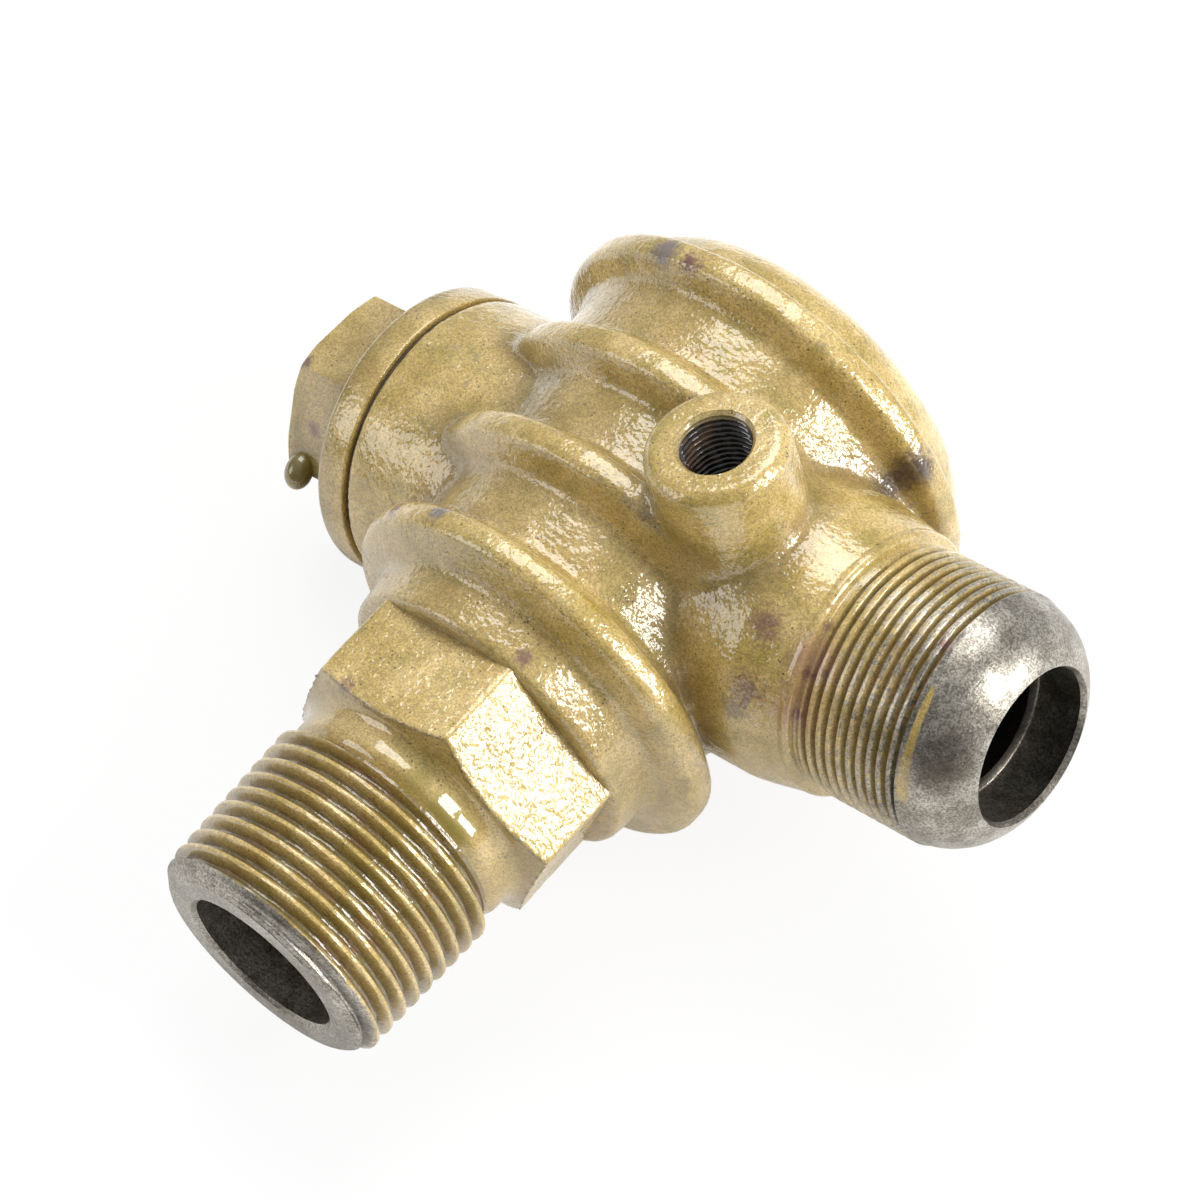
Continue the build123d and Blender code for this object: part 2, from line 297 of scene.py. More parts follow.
def hexagon_bar(name: str, start: float, end: float, width: float, line: Line, degrees: float) -> Piece:
    """Plain six-sided bar between two stations of the tank or the inlet axis.

    Args:
        name: Name of the piece.
        start: First station in millimetres.
        end: Last station in millimetres.
        width: Width between two opposite flats, in millimetres.
        line: The axis, which isn't the boss's.
        degrees: Turn round the axis.

    Returns:
        The bar.
    """
    start_clean()
    tilt = {Line.TANK: (math.pi / 2, 0, 0), Line.INLET: (0, math.pi / 2, 0)}[line]
    bpy.ops.mesh.primitive_cylinder_add(
        vertices=6, radius=width / math.sqrt(3) * MM, depth=(end - start) * MM,
        location=line.place((start + end) / 2, 0), rotation=tilt,
    )
    bar = bpy.context.object
    bar.name = name
    settle(bar)
    places = coordinates(bar)
    side, middle = (0, 0.0) if line is Line.TANK else (1, CROSSING_Y)
    offset, height = places[:, side] - middle, places[:, 2].copy()
    cosine, sine = math.cos(math.radians(degrees)), math.sin(math.radians(degrees))
    places[:, side] = middle + offset * cosine - height * sine
    places[:, 2] = offset * sine + height * cosine
    set_coordinates(bar, places)
    return bar


def joined(name: str, parts: list[Piece]) -> Piece:
    """Join meshes into one object.

    Args:
        name: Name of the piece.
        parts: Meshes; the first is kept.

    Returns:
        The joined piece.
    """
    start_clean()
    for part in parts:
        part.select_set(True)
    bpy.context.view_layer.objects.active = parts[0]
    bpy.ops.object.join()
    parts[0].name = name
    return parts[0]


def smooth_by_angle(piece: Piece, degrees: float) -> None:
    """Shade a piece smooth except across edges sharper than the angle."""
    only(piece)
    bpy.ops.object.shade_smooth_by_angle(angle=math.radians(degrees))


def coordinates(piece: Piece) -> np.ndarray:
    """Vertex places of a mesh.

    Args:
        piece: The mesh.

    Returns:
        One row for each vertex, in millimetres.
    """
    places = np.zeros(len(piece.data.vertices) * 3)
    piece.data.vertices.foreach_get("co", places)
    return places.reshape(-1, 3) / MM


def set_coordinates(piece: Piece, places: np.ndarray) -> None:
    """Move a mesh's vertices to places in millimetres."""
    piece.data.vertices.foreach_set("co", (places * MM).ravel())
    piece.data.update()


def limited(values: np.ndarray) -> np.ndarray:
    """Numbers held between 0 and 1."""
    return np.clip(values, 0, 1)


def add_measures(piece: Piece, **measures: np.ndarray) -> None:
    """Store one number per vertex for the lacquer to read, with zeros for the main measures not given.

    Args:
        piece: The mesh.
        measures: Numbers from 0 to 1, by name: hollow (painted shade, mixed with rust on the lacquer),
            crest, bare (on the tank thread also a painted reflection of the floor), turned or pitted.
    """
    zeros = np.zeros(len(piece.data.vertices))
    for name, values in ({"hollow": zeros, "crest": zeros, "bare": zeros} | measures).items():
        attribute = piece.data.attributes.new(name, "FLOAT", "POINT")
        attribute.data.foreach_set("value", values.astype(np.float32))


@dataclass(frozen=True)
class ThreadForm:
    """A screw thread that is cut into a turned surface."""

    pitch: float
    depth: float
    crest_at_zero: float
    taper: float = 0.0
    start: float = -1e9
    end: float = 1e9
    inside: bool = False
    crest_share: float = 0.16
    root_share: float = 0.16
    shift: float = 0.0

    def cut(self, piece: Piece, line: Line) -> None:
        """Move the surface to the thread's flanks wherever they lie deeper than it.

        Args:
            piece: A turned piece with closely spaced stations.
            line: The axis of the thread.
        """
        centre = np.array(line.centre) / MM
        along = np.array(line.along)
        across = np.array(line.across)
        third = np.cross(along, across)
        offset = coordinates(piece) - centre
        station = offset @ along
        flat_x = offset @ across
        flat_y = offset @ third
        radius = np.hypot(flat_x, flat_y)
        angle = np.arctan2(flat_y, flat_x)
        phase = ((station - self.shift) / self.pitch - angle / (2 * math.pi)) % 1.0
        slope_share = 1 - self.crest_share - self.root_share
        height = limited((np.abs(phase - 0.5) * 2 - self.root_share) / slope_share)
        height = height * height * (3 - 2 * height) * 0.35 + height * 0.65
        crest = self.crest_at_zero + station * self.taper / 2
        within = (station > self.start) & (station < self.end)
        if self.inside:
            wanted = np.maximum(radius, crest + self.depth * (1 - height))
            within &= (radius > crest - 1.2) & (radius < crest + 0.05)
        else:
            wanted = np.minimum(radius, crest - self.depth * (1 - height))
            within &= radius > crest - self.depth * 2
        scale = np.where(within, wanted, radius) / np.maximum(radius, 1e-6)
        moved = np.outer(station, along) + np.outer(flat_x * scale, across)
        set_coordinates(piece, moved + np.outer(flat_y * scale, third) + centre)


@dataclass(frozen=True)
class Stain:
    """One soft-edged mark: full at its centre, gone further out, with an edge that wanders where broken."""

    centre: Triple
    full: float
    gone: float
    colour: Triple
    strength: float
    broken: float


DARK_STAIN = (0.045, 0.022, 0.016)
PURPLE_STAIN = (0.13, 0.045, 0.05)
WORN_GREY = (0.17, 0.14, 0.13)
POOL_GREEN = (0.24, 0.19, 0.018)
SMUDGE = (0.16, 0.09, 0.10)
WHITE = (1.0, 1.0, 1.0)

NECK_RUST = (
    Stain((37.6, 63.0, 12.8), 0.5, 5.0, (0.34, 0.17, 0.12), 0.65, 2.4),
    Stain((37.0, 58.8, 8.0), 0.5, 5.0, (0.32, 0.15, 0.10), 0.6, 2.4),
)

CASTING_STAINS = (
    Stain((28.3, 93.3, 9.9), 1.0, 4.2, DARK_STAIN, 0.95, 1.6),
    Stain((26.5, 91.2, 8.2), 0.5, 3.4, DARK_STAIN, 0.9, 1.4),
    Stain((-15.5, 50.1, 21.9), 0.3, 1.8, PURPLE_STAIN, 0.9, 1.2),
    Stain((-7.5, 50.8, 25.7), 0.4, 2.0, WORN_GREY, 0.95, 1.2),
    Stain((-7.1, 94.4, 29.7), 0.6, 3.0, WORN_GREY, 0.95, 1.6),
    Stain((-2.5, 93.9, 30.3), 0.3, 2.2, PURPLE_STAIN, 0.9, 1.6),
    Stain((31.0, 62.7, 15.6), 0.2, 3.2, PURPLE_STAIN, 0.75, 2.4),
    Stain((31.1, 57.0, 9.7), 0.2, 3.4, PURPLE_STAIN, 0.7, 2.4),
    Stain((29.9, 55.6, 7.0), 0.5, 3.0, DARK_STAIN, 0.6, 1.6),
    Stain((-9.0, 30.5, 17.8), 0.4, 1.8, PURPLE_STAIN, 0.7, 1.2),
    Stain((10.6, 43.0, 18.1), 0.2, 1.6, PURPLE_STAIN, 0.8, 1.0),
    *NECK_RUST,
)

COLLAR_STAINS = (
    *NECK_RUST,
    Stain((37.4, 66.9, 14.9), 0.1, 1.0, PURPLE_STAIN, 0.7, 0.8),
    Stain((37.4, 61.8, 11.6), 0.1, 1.2, PURPLE_STAIN, 0.7, 0.8),
    Stain((37.4, 58.6, 7.6), 0.1, 1.2, PURPLE_STAIN, 0.7, 0.8),
    Stain((39.4, 62.5, 12.4), 0.1, 0.9, PURPLE_STAIN, 0.6, 0.8),
    Stain((51.3, 71.0, 16.1), 0.2, 1.3, PURPLE_STAIN, 0.7, 1.2),
    Stain((56.0, 61.3, 7.0), 1.0, 5.5, (0.10, 0.08, 0.06), 0.75, 1.6),
    Stain((57.6, 63.0, 1.0), 1.0, 5.0, (0.13, 0.105, 0.08), 0.5, 1.6),
)

PLUG_STAINS = (
    Stain((-48.3, 58.4, 1.1), 2.0, 2.6, (0.14, 0.11, 0.010), 0.75, 0.2),
    Stain((-46.9, 62.0, 6.1), 0.2, 1.6, PURPLE_STAIN, 0.8, 1.0),
    Stain((-50.9, 66.8, 13.2), 0.5, 2.0, (0.10, 0.06, 0.075), 0.9, 1.4),
    Stain((-39.2, 60.6, 0.2), 0.3, 1.6, SMUDGE, 0.8, 1.2),
    Stain((-39.2, 59.6, 4.2), 0.3, 1.4, SMUDGE, 0.8, 1.2),
)

HEXAGON_STAINS = (
    Stain((13.9, 24.1, 8.6), 0.6, 3.6, POOL_GREEN, 0.8, 0.4),
    Stain((12.0, 24.0, 11.3), 0.6, 3.6, POOL_GREEN, 0.75, 0.4),
    Stain((8.6, 24.0, 14.2), 0.6, 3.2, POOL_GREEN, 0.6, 0.4),
    Stain((-5.6, 29.1, 17.2), 0.4, 1.6, PURPLE_STAIN, 0.8, 1.2),
    Stain((-8.7, 29.3, 16.1), 0.3, 1.3, DARK_STAIN, 0.7, 1.0),
)


def feed(tree: bpy.types.NodeTree, socket: Socket, value: object) -> None:
    """Link a socket, or set it if the value is plain.

    Args:
        tree: The node tree.
        socket: Input socket.
        value: Another node's output, a number, a vector or a colour.
    """
    if isinstance(value, Socket):
        tree.links.new(value, socket)
    elif isinstance(value, tuple) and len(value) < len(socket.default_value):
        socket.default_value = (*value, 1.0)
    else:
        socket.default_value = value


def add_node(tree: bpy.types.NodeTree, kind: str, inputs: dict | None = None, **settings: object) -> Node:
    """Add a shader node.

    Args:
        tree: The node tree.
        kind: Blender's name of the node, without the ShaderNode before it.
        inputs: What goes into its sockets, by their names or numbers.
        settings: Its settings by name.

    Returns:
        The node.
    """
    node = tree.nodes.new("ShaderNode" + kind)
    for name, value in settings.items():
        setattr(node, name, value)
    for key, value in (inputs or {}).items():
        feed(tree, node.inputs[key], value)
    return node


class NodeBench:
    """Short calls for building one node material."""

    def __init__(self, name: str) -> None:
        """Start a material with its shader and its Object coordinates.

        Args:
            name: Name of the material.
        """
        self.material = bpy.data.materials.new(name)
        self.material.use_nodes = True
        self.tree = self.material.node_tree
        self.shader = self.tree.nodes["Principled BSDF"]
        self.place = self.add("TexCoord").outputs["Object"]

    def add(self, kind: str, inputs: dict | None = None, **settings: object) -> Node:
        """Add a node to the material."""
        return add_node(self.tree, kind, inputs, **settings)

    def mapped(self, shift: Triple = (0, 0, 0), stretch: Triple = (1, 1, 1)) -> Socket:
        """Object coordinates, shifted in millimetres and stretched along each axis."""
        place = tuple(-value * MM * size for value, size in zip(shift, stretch))
        return self.add("Mapping", {"Location": place, "Scale": stretch, "Vector": self.place}).outputs[0]

    def noise(self, size: float, detail: float, rough: float = 0.5, vector: Socket | None = None) -> Socket:
        """Soft noise.

        Args:
            size: Size of its blotches in millimetres.
            detail: Octaves.
            rough: Strength of the finer octaves.
            vector: Coordinates, or None for Object coordinates.

        Returns:
            The factor output.
        """
        vector = vector or self.place
        inputs = {"Scale": 1 / (size * MM), "Detail": detail, "Roughness": rough, "Vector": vector}
        return self.add("TexNoise", inputs).outputs["Fac"]

    def cells(self, size: float) -> Node:
        """Scattered cells of about the size in millimetres."""
        return self.add("TexVoronoi", {"Scale": 1 / (size * MM), "Vector": self.place})

    def dots(self, size: float, full: float, gone: float) -> Socket:
        """Round dots, one in each cell, full within one share of the cell's size and gone past another."""
        return self.span(self.cells(size).outputs["Distance"], full, gone, 1.0, 0.0)

    def flecked(self, colour: Socket, size: float, dark: float, light: float) -> Socket:
        """Make a colour lighter or darker by chance in each cell.

        Args:
            colour: The colour.
            size: Size of the cells in millimetres.
            dark: Least factor.
            light: Greatest factor.

        Returns:
            The flecked colour.
        """
        chance = self.add("SeparateColor", {0: self.cells(size).outputs["Color"]}).outputs[0]
        factor = self.span(chance, 0.0, 1.0, dark, light)
        return self.add("VectorMath", {0: colour, "Scale": factor}, operation="SCALE").outputs[0]

    def math(self, operation: str, *values: object) -> Socket:
        """One arithmetic node."""
        return self.add("Math", dict(enumerate(values)), operation=operation).outputs[0]

    def times(self, first: object, second: object) -> Socket:
        """Product of two values."""
        return self.math("MULTIPLY", first, second)

    def span(self, value: object, low: float, high: float, to_low: float = 0, to_high: float = 1) -> Socket:
        """Map a value from one range to another with soft ends.

        Args:
            value: The input.
            low: Input that gives to_low.
            high: Input that gives to_high.
            to_low: Output at low.
            to_high: Output at high.

        Returns:
            The mapped value.
        """
        inputs = {"Value": value, "From Min": low, "From Max": high, "To Min": to_low, "To Max": to_high}
        return self.add("MapRange", inputs, interpolation_type="SMOOTHSTEP").outputs["Result"]

    def mix(self, factor: object, low: object, high: object) -> Socket:
        """Mix two colours; the node's colours are its sockets 6 and 7."""
        return self.add("Mix", {"Factor": factor, 6: low, 7: high}, data_type="RGBA").outputs[2]

    def near(self, stain: Stain, ragged: Socket) -> Socket:
        """Soft mask of a stain.

        Args:
            stain: The stain.
            ragged: Noise that makes its edge uneven.

        Returns:
            A mask from 0 to 1.
        """
        centre = tuple(value * MM for value in stain.centre)
        away = self.add("VectorMath", {0: self.place, 1: centre}, operation="DISTANCE").outputs["Value"]
        wander = self.times(self.math("SUBTRACT", ragged, 0.5), stain.broken * 3.4 * MM)
        return self.span(self.math("ADD", away, wander), stain.full * MM, stain.gone * MM, 1.0, 0.0)

    def measure(self, name: str) -> Socket:
        """Read a piece's own attribute."""
        return self.add("Attribute", attribute_name=name).outputs["Fac"]

    def bump(self, height: Socket, depth: float, under: Socket | None = None) -> Socket:
        """Bump from a height.

        Args:
            height: Height from 0 to 1.
            depth: Height of 1, in millimetres.
            under: Another bump to add to.

        Returns:
            The normal output.
        """
        inputs = {"Strength": 1.0, "Distance": depth * MM, "Height": height}
        if under is not None:
            inputs["Normal"] = under
        return self.add("Bump", inputs).outputs["Normal"]

    def finish(self, **sockets: object) -> bpy.types.Material:
        """Finish the material.

        Args:
            sockets: What goes into the shader's sockets, by name with underscores for spaces.

        Returns:
            The material.
        """
        for name, value in sockets.items():
            feed(self.tree, self.shader.inputs[name.replace("_", " ")], value)
        return self.material


@dataclass(frozen=True)
class Lacquer:
    """Gold olive metallic lacquer over iron, bare to the metal where a piece's measure says so, from wear
    and, on the tank thread, also as a painted reflection of the floor; hollows are darkened as painted
    shade.
    """

    name: str
    stains: tuple[Stain, ...] = ()
    light: Triple = (0.60, 0.44, 0.17)
    body: Triple = (0.43, 0.30, 0.075)
    green: Triple = (0.27, 0.21, 0.025)
    # deep: dark olive that hollows are darkened to, as painted shade.
    deep: Triple = (0.10, 0.07, 0.010)
    pit: Triple = (0.06, 0.03, 0.018)
    metal: Triple = (0.40, 0.375, 0.325)
    dull_metal: Triple = (0.26, 0.235, 0.195)
    # Painted shade colour of the bare metal in bores and hollows.
    shaded_metal: Triple = (0.05, 0.045, 0.038)
    rust: Triple = (0.12, 0.055, 0.016)
    metallic: float = 0.2
    bare_metallic: float = 0.9
    bare_smoother: float = 0.14
    peel: float = 0.06
    rings: Line | None = None
    ring_pitch: float = 0.25

    def tone(self, bench: NodeBench) -> Socket:
        """Colour of the lacquer, with green drifts, hollows darkened as painted shade mixed with real rust,
        flakes and pits.

        Args:
            bench: The material under way.

        Returns:
            The colour output.
        """
        tone = bench.mix(bench.span(bench.noise(8.0, 4.0, 0.6), 0.36, 0.66), self.body, self.light)
        drift = bench.span(bench.noise(6.0, 3.0, 0.6, bench.mapped((9, 4, 7))), 0.48, 0.7)
        tone = bench.mix(bench.times(drift, 0.6), tone, self.green)
        # Painted shade: the hollow measure darkens the lacquer towards the deep olive, broken by patches of
        # real rust.
        rusty = bench.span(bench.noise(6.0, 3.0, 0.6, bench.mapped((3, 8, 5))), 0.45, 0.62)
        low = bench.mix(rusty, self.deep, self.rust)
        tone = bench.mix(bench.times(bench.measure("hollow"), 0.92), tone, low)
        tone = bench.flecked(tone, 0.19, 0.74, 1.26)
        pits = bench.times(bench.dots(0.8, 0.12, 0.22), bench.span(bench.noise(3.4, 3.0, 0.6), 0.51, 0.6))
        rough = bench.times(bench.dots(0.42, 0.17, 0.3), bench.span(bench.noise(1.8, 3.0, 0.6), 0.46, 0.56))
        pits = bench.math("MAXIMUM", pits, bench.times(rough, bench.measure("pitted")))
        return bench.mix(bench.times(pits, 0.85), tone, self.pit)

    def iron(self, bench: NodeBench) -> Socket:
        """Colour of the bare metal, darkened as painted shade in bores and hollows.

        Args:
            bench: The material under way.

        Returns:
            The colour output.
        """
        tone = bench.mix(bench.span(bench.noise(4.5, 6.0, 0.65), 0.38, 0.6), self.dull_metal, self.metal)
        tone = bench.flecked(tone, 0.2, 0.6, 1.4)
        # Painted shade: bores and hollows darken the metal nearly to black.
        return bench.mix(bench.times(bench.measure("hollow"), 0.9), tone, self.shaded_metal)

    def make(self) -> bpy.types.Material:
        """Build the node material: a rough metallic base under a clear coat that is missing where bare.

        Returns:
            The material.
        """
        bench = NodeBench(self.name)
        ragged = bench.noise(0.75, 5.0, 0.8)
        wander = bench.times(bench.math("SUBTRACT", ragged, 0.5), 0.9)
        # On the tank thread the bare measure also paints the floor's reflection as grey metal.
        bare = bench.span(bench.math("ADD", bench.measure("bare"), wander), 0.42, 0.62)
        tone = bench.mix(bare, self.tone(bench), self.iron(bench))
        crest = bench.times(bench.measure("crest"), bench.span(bench.noise(2.6, 4.0, 0.7), 0.6, 0.68))
        tone = bench.mix(bench.times(crest, 0.35), tone, WORN_GREY)
        for stain in self.stains:
            tone = bench.mix(bench.times(bench.near(stain, ragged), stain.strength), tone, stain.colour)
        calm = bench.math("SUBTRACT", 1.0, bench.times(bench.measure("turned"), 0.93))
        swell = bench.times(bench.noise(2.6, 2.0, 0.5), calm)
        base = bench.bump(swell, self.peel * 1.2)
        clear = bench.bump(swell, self.peel * 2.0)
        clear = bench.bump(bench.times(bench.noise(0.85, 1.4, 0.5), calm), self.peel * 2.6, clear)
        clear = bench.bump(bench.times(bench.dots(0.5, 0.0, 0.5), calm), self.peel * 0.25, clear)
        if self.rings:
            stretch = tuple(1.0 if part else 0.1 for part in self.rings.along)
            ring = bench.noise(self.ring_pitch, 2.0, 0.6, bench.mapped(stretch=stretch))
            clear = bench.bump(ring, 0.02, clear)
            base = bench.bump(ring, 0.03, base)
        matt = bench.span(bench.noise(2.2, 3.0, 0.6), 0.3, 0.7, 0.44, 0.58)
        gain = self.bare_metallic - self.metallic
        return bench.finish(
            Base_Color=tone,
            Metallic=bench.math("ADD", bench.times(bare, gain), self.metallic),
            Roughness=bench.math("ADD", matt, bench.times(bare, -self.bare_smoother)),
            Normal=bench.bump(bench.noise(0.28, 1.0, 0.5), 0.02, base),
            Coat_Weight=bench.math("SUBTRACT", 1.0, bare),
            Coat_Roughness=0.035,
            Coat_IOR=1.7,
            Coat_Normal=clear,
        )


@dataclass(frozen=True)
class PlainFinish:
    """A simple uneven finish for the small parts inside."""

    name: str
    light: Triple
    dark: Triple
    metallic: float
    roughness: float
    grain: float = 1.5
    relief: float = 0.01

    def make(self) -> bpy.types.Material:
        """Build the node material.

        Returns:
            The material.
        """
        bench = NodeBench(self.name)
        tone = bench.mix(bench.span(bench.noise(self.grain, 4.0, 0.6), 0.3, 0.7), self.dark, self.light)
        normal = bench.bump(bench.noise(self.grain * 0.4, 3.0, 0.6), self.relief)
        patchy = bench.noise(self.grain * 1.7, 3.0)
        rough = bench.span(patchy, 0.3, 0.7, self.roughness - 0.06, self.roughness + 0.1)
        return bench.finish(Base_Color=tone, Metallic=self.metallic, Roughness=rough, Normal=normal)


@dataclass
class TankConnection:
    """Taper thread, end face, relief neck and bore of the tank connection."""

    small_r: float = 16.3
    face_r: float = 14.3
    chamfer: float = 1.8
    bore_r: float = 10.45
    thread_end: float = 22.2
    neck_r: float = 15.3
    inner_end: float = 43.0
    pitch: float = 2.309
    depth: float = 1.48
    taper: float = 1 / 16
    fine: float = 0.14

    def crest(self, y: np.ndarray | float) -> np.ndarray | float:
        """Radius of the thread's crests."""
        return self.small_r + y * self.taper / 2

    def build(self) -> Piece:
        """Turn the blank and cut its thread.

        Returns:
            The threaded piece.
        """
        profile = [(0.5, self.bore_r), (0, self.bore_r + 0.5), (0, self.face_r - 0.2), (0.2, self.face_r)]
        for y in stations(0.35, self.chamfer, self.fine):
            profile.append((y, self.face_r + (self.small_r - self.face_r) * y / self.chamfer))
        for y in stations(self.chamfer + self.fine, self.thread_end, self.fine):
            profile.append((y, self.crest(y)))
        profile += [(self.thread_end + 0.5, self.neck_r), (self.inner_end, self.neck_r)]
        profile += [(self.inner_end, self.bore_r)]
        piece = turned("tank_thread", profile, Line.TANK, 144)
        thread = ThreadForm(
            self.pitch, self.depth, self.small_r, self.taper, 0.3, self.thread_end + 0.1,
            crest_share=0.2, shift=-0.15,
        )
        thread.cut(piece, Line.TANK)
        self.measure(piece)
        smooth_by_angle(piece, 38)
        return piece

    def measure(self, piece: Piece) -> None:
        """Note the thread's roots, darkened as painted shade, and its crests, and where its first turns are
        bare and its left and lower sides take bare grey metal as a painted reflection of the floor.

        Args:
            piece: The threaded piece.
        """
        x, y, z = coordinates(piece).T
        radius = np.hypot(x, z)
        depth = limited((self.crest(y) - radius) / self.depth)
        threaded = (y > 1.2) & (y < self.thread_end + 1) & (radius > self.bore_r + 3)
        outer = radius > self.bore_r + 1
        end = np.where(outer, limited(1.15 - y / 3.2), np.where(radius < self.bore_r + 0.6, 1.0, 0.9))
        # Painted reflection of the floor: the left-facing and lower sides are made bare grey metal.
        left = limited((-x / np.maximum(radius, 1) - 0.15) * 1.1) * limited(1.2 - y / 24) * 0.75
        under = limited(-z / np.maximum(radius, 1) - 0.2) * 0.6
        bare_and_reflection = np.maximum(end, np.maximum(left, under))
        # Painted shade: the hollow measure darkens the thread's roots by their depth.
        add_measures(
            piece,
            hollow=np.where(threaded, depth * 0.9, 0.1),
            bare=limited(np.where(outer, bare_and_reflection, end)),
            crest=np.where(threaded & (depth < 0.12), 0.6, 0.0),
        )


@dataclass
class BodyHexagon:
    """Spanner hexagon with the turned neck and cone in front of it."""

    start: float = 22.6
    end: float = 42.8
    across_flats: float = 35.6
    turn: float = 30.0
    root_r: float = 15.0
    neck_start: float = 24.3
    neck_r: float = 16.05
    cone_start: float = 27.4
    cone_end: float = 29.6
    cone_round: float = 3.2
    inner_r: float = 14.6
    skin: float = 0.27
    burr: float = 0.22

    def blank(self) -> list[Point]:
        """Profile of the turned blank.

        Returns:
            Its points, from axis to axis.
        """
        far = self.across_flats / math.sqrt(3) + 0.7
        return softened([
            (self.start, 0, 0), (self.start, self.root_r, 0.2), (self.neck_start, self.neck_r, 1.4),
            (self.cone_start, self.neck_r, self.cone_round), (self.cone_end, far, 0), (self.end, far, 0),
            (self.end, 0, 0),
        ], 8)

    def build(self) -> Piece:
        """Cut the hexagon from a turned blank with a six-sided bar and roughen its flats.

        Returns:
            The hexagon.
        """
        low, high = self.start - 2, self.end + 2
        piece = hexagon_bar("body_hexagon", low, high, self.across_flats, Line.TANK, self.turn)
        boolean(piece, turned("blank", self.blank(), Line.TANK, 384, closed=False), "INTERSECT")
        remesh(piece, self.skin)
        self.weather(piece)
        boolean(piece, rod("passage", low, high, self.inner_r, Line.TANK), "DIFFERENCE")
        _, rim, _, front = self.zones(coordinates(piece))
        # Painted shade: the turned front is darkened a little, as a dark reflection, and the rim under the
        # burr strongly, as a shadow.
        add_measures(piece, hollow=limited(front * 0.25 + rim * 0.9), turned=front)
        smooth_by_angle(piece, 55)
        return piece

    def zones(self, places: np.ndarray) -> tuple[np.ndarray, np.ndarray, np.ndarray, np.ndarray]:
        """How much each place belongs to a flat, the rim of the flats, a corner and the turned front.

        Args:
            places: Vertex places in millimetres.

        Returns:
            Four arrays of shares from 0 to 1.
        """
        x, y, z = places.T
        sides = [math.radians(self.turn + 60 * number) for number in range(6)]
        depth = np.sort(np.stack([x * math.cos(side) + z * math.sin(side) for side in sides]), axis=0)
        half = self.across_flats / 2
        profile = np.array(self.blank()[1:-1])
        below = np.interp(y, profile[:, 0], profile[:, 1]) - np.hypot(x, z)
        on_flat = limited(1 - (half - depth[-1]) / 0.4)
        on_turned = limited(1 - below / 0.4) * (y < self.cone_end + 1)
        corner = limited(1 - (half - depth[-2]) / 0.9)
        return on_flat * (1 - on_turned), on_flat * on_turned, corner, on_turned

    def weather(self, piece: Piece) -> None:
        """Round the corners, wrinkle the flats and raise a ragged burr along their rim.

        Args:
            piece: The fine skin of the hexagon.
        """
        flat, rim, corner, front = self.zones(coordinates(piece))
        weigh(piece, "corners", corner, 5)
        weigh(piece, "flats", limited(flat * 1.2), 5)
        weigh(piece, "front", front * (1 - rim), 5)
        for group, rounds in (("", 2), ("corners", 9), ("front", 8)):
            smooth(piece, rounds, group)
        for size, height in ((4.2, 0.16), (1.1, 0.09)):
            unsettle(piece, size, height, "flats")
        x, y, z = coordinates(piece).T
        angle = np.arctan2(z, x)
        waves = ((0.3, 23, 1), (0.25, 61, 0), (0.2, 137, 2))
        ragged = 0.45 + sum(height * np.sin(angle * count + phase) for height, count, phase in waves)
        lift = self.burr * rim * np.clip(ragged, 0.05, 1)
        grow = 1 + lift / np.hypot(x, z)
        set_coordinates(piece, np.stack([x * grow, y - lift * 0.9, z * grow], axis=1))
        piece.vertex_groups.clear()


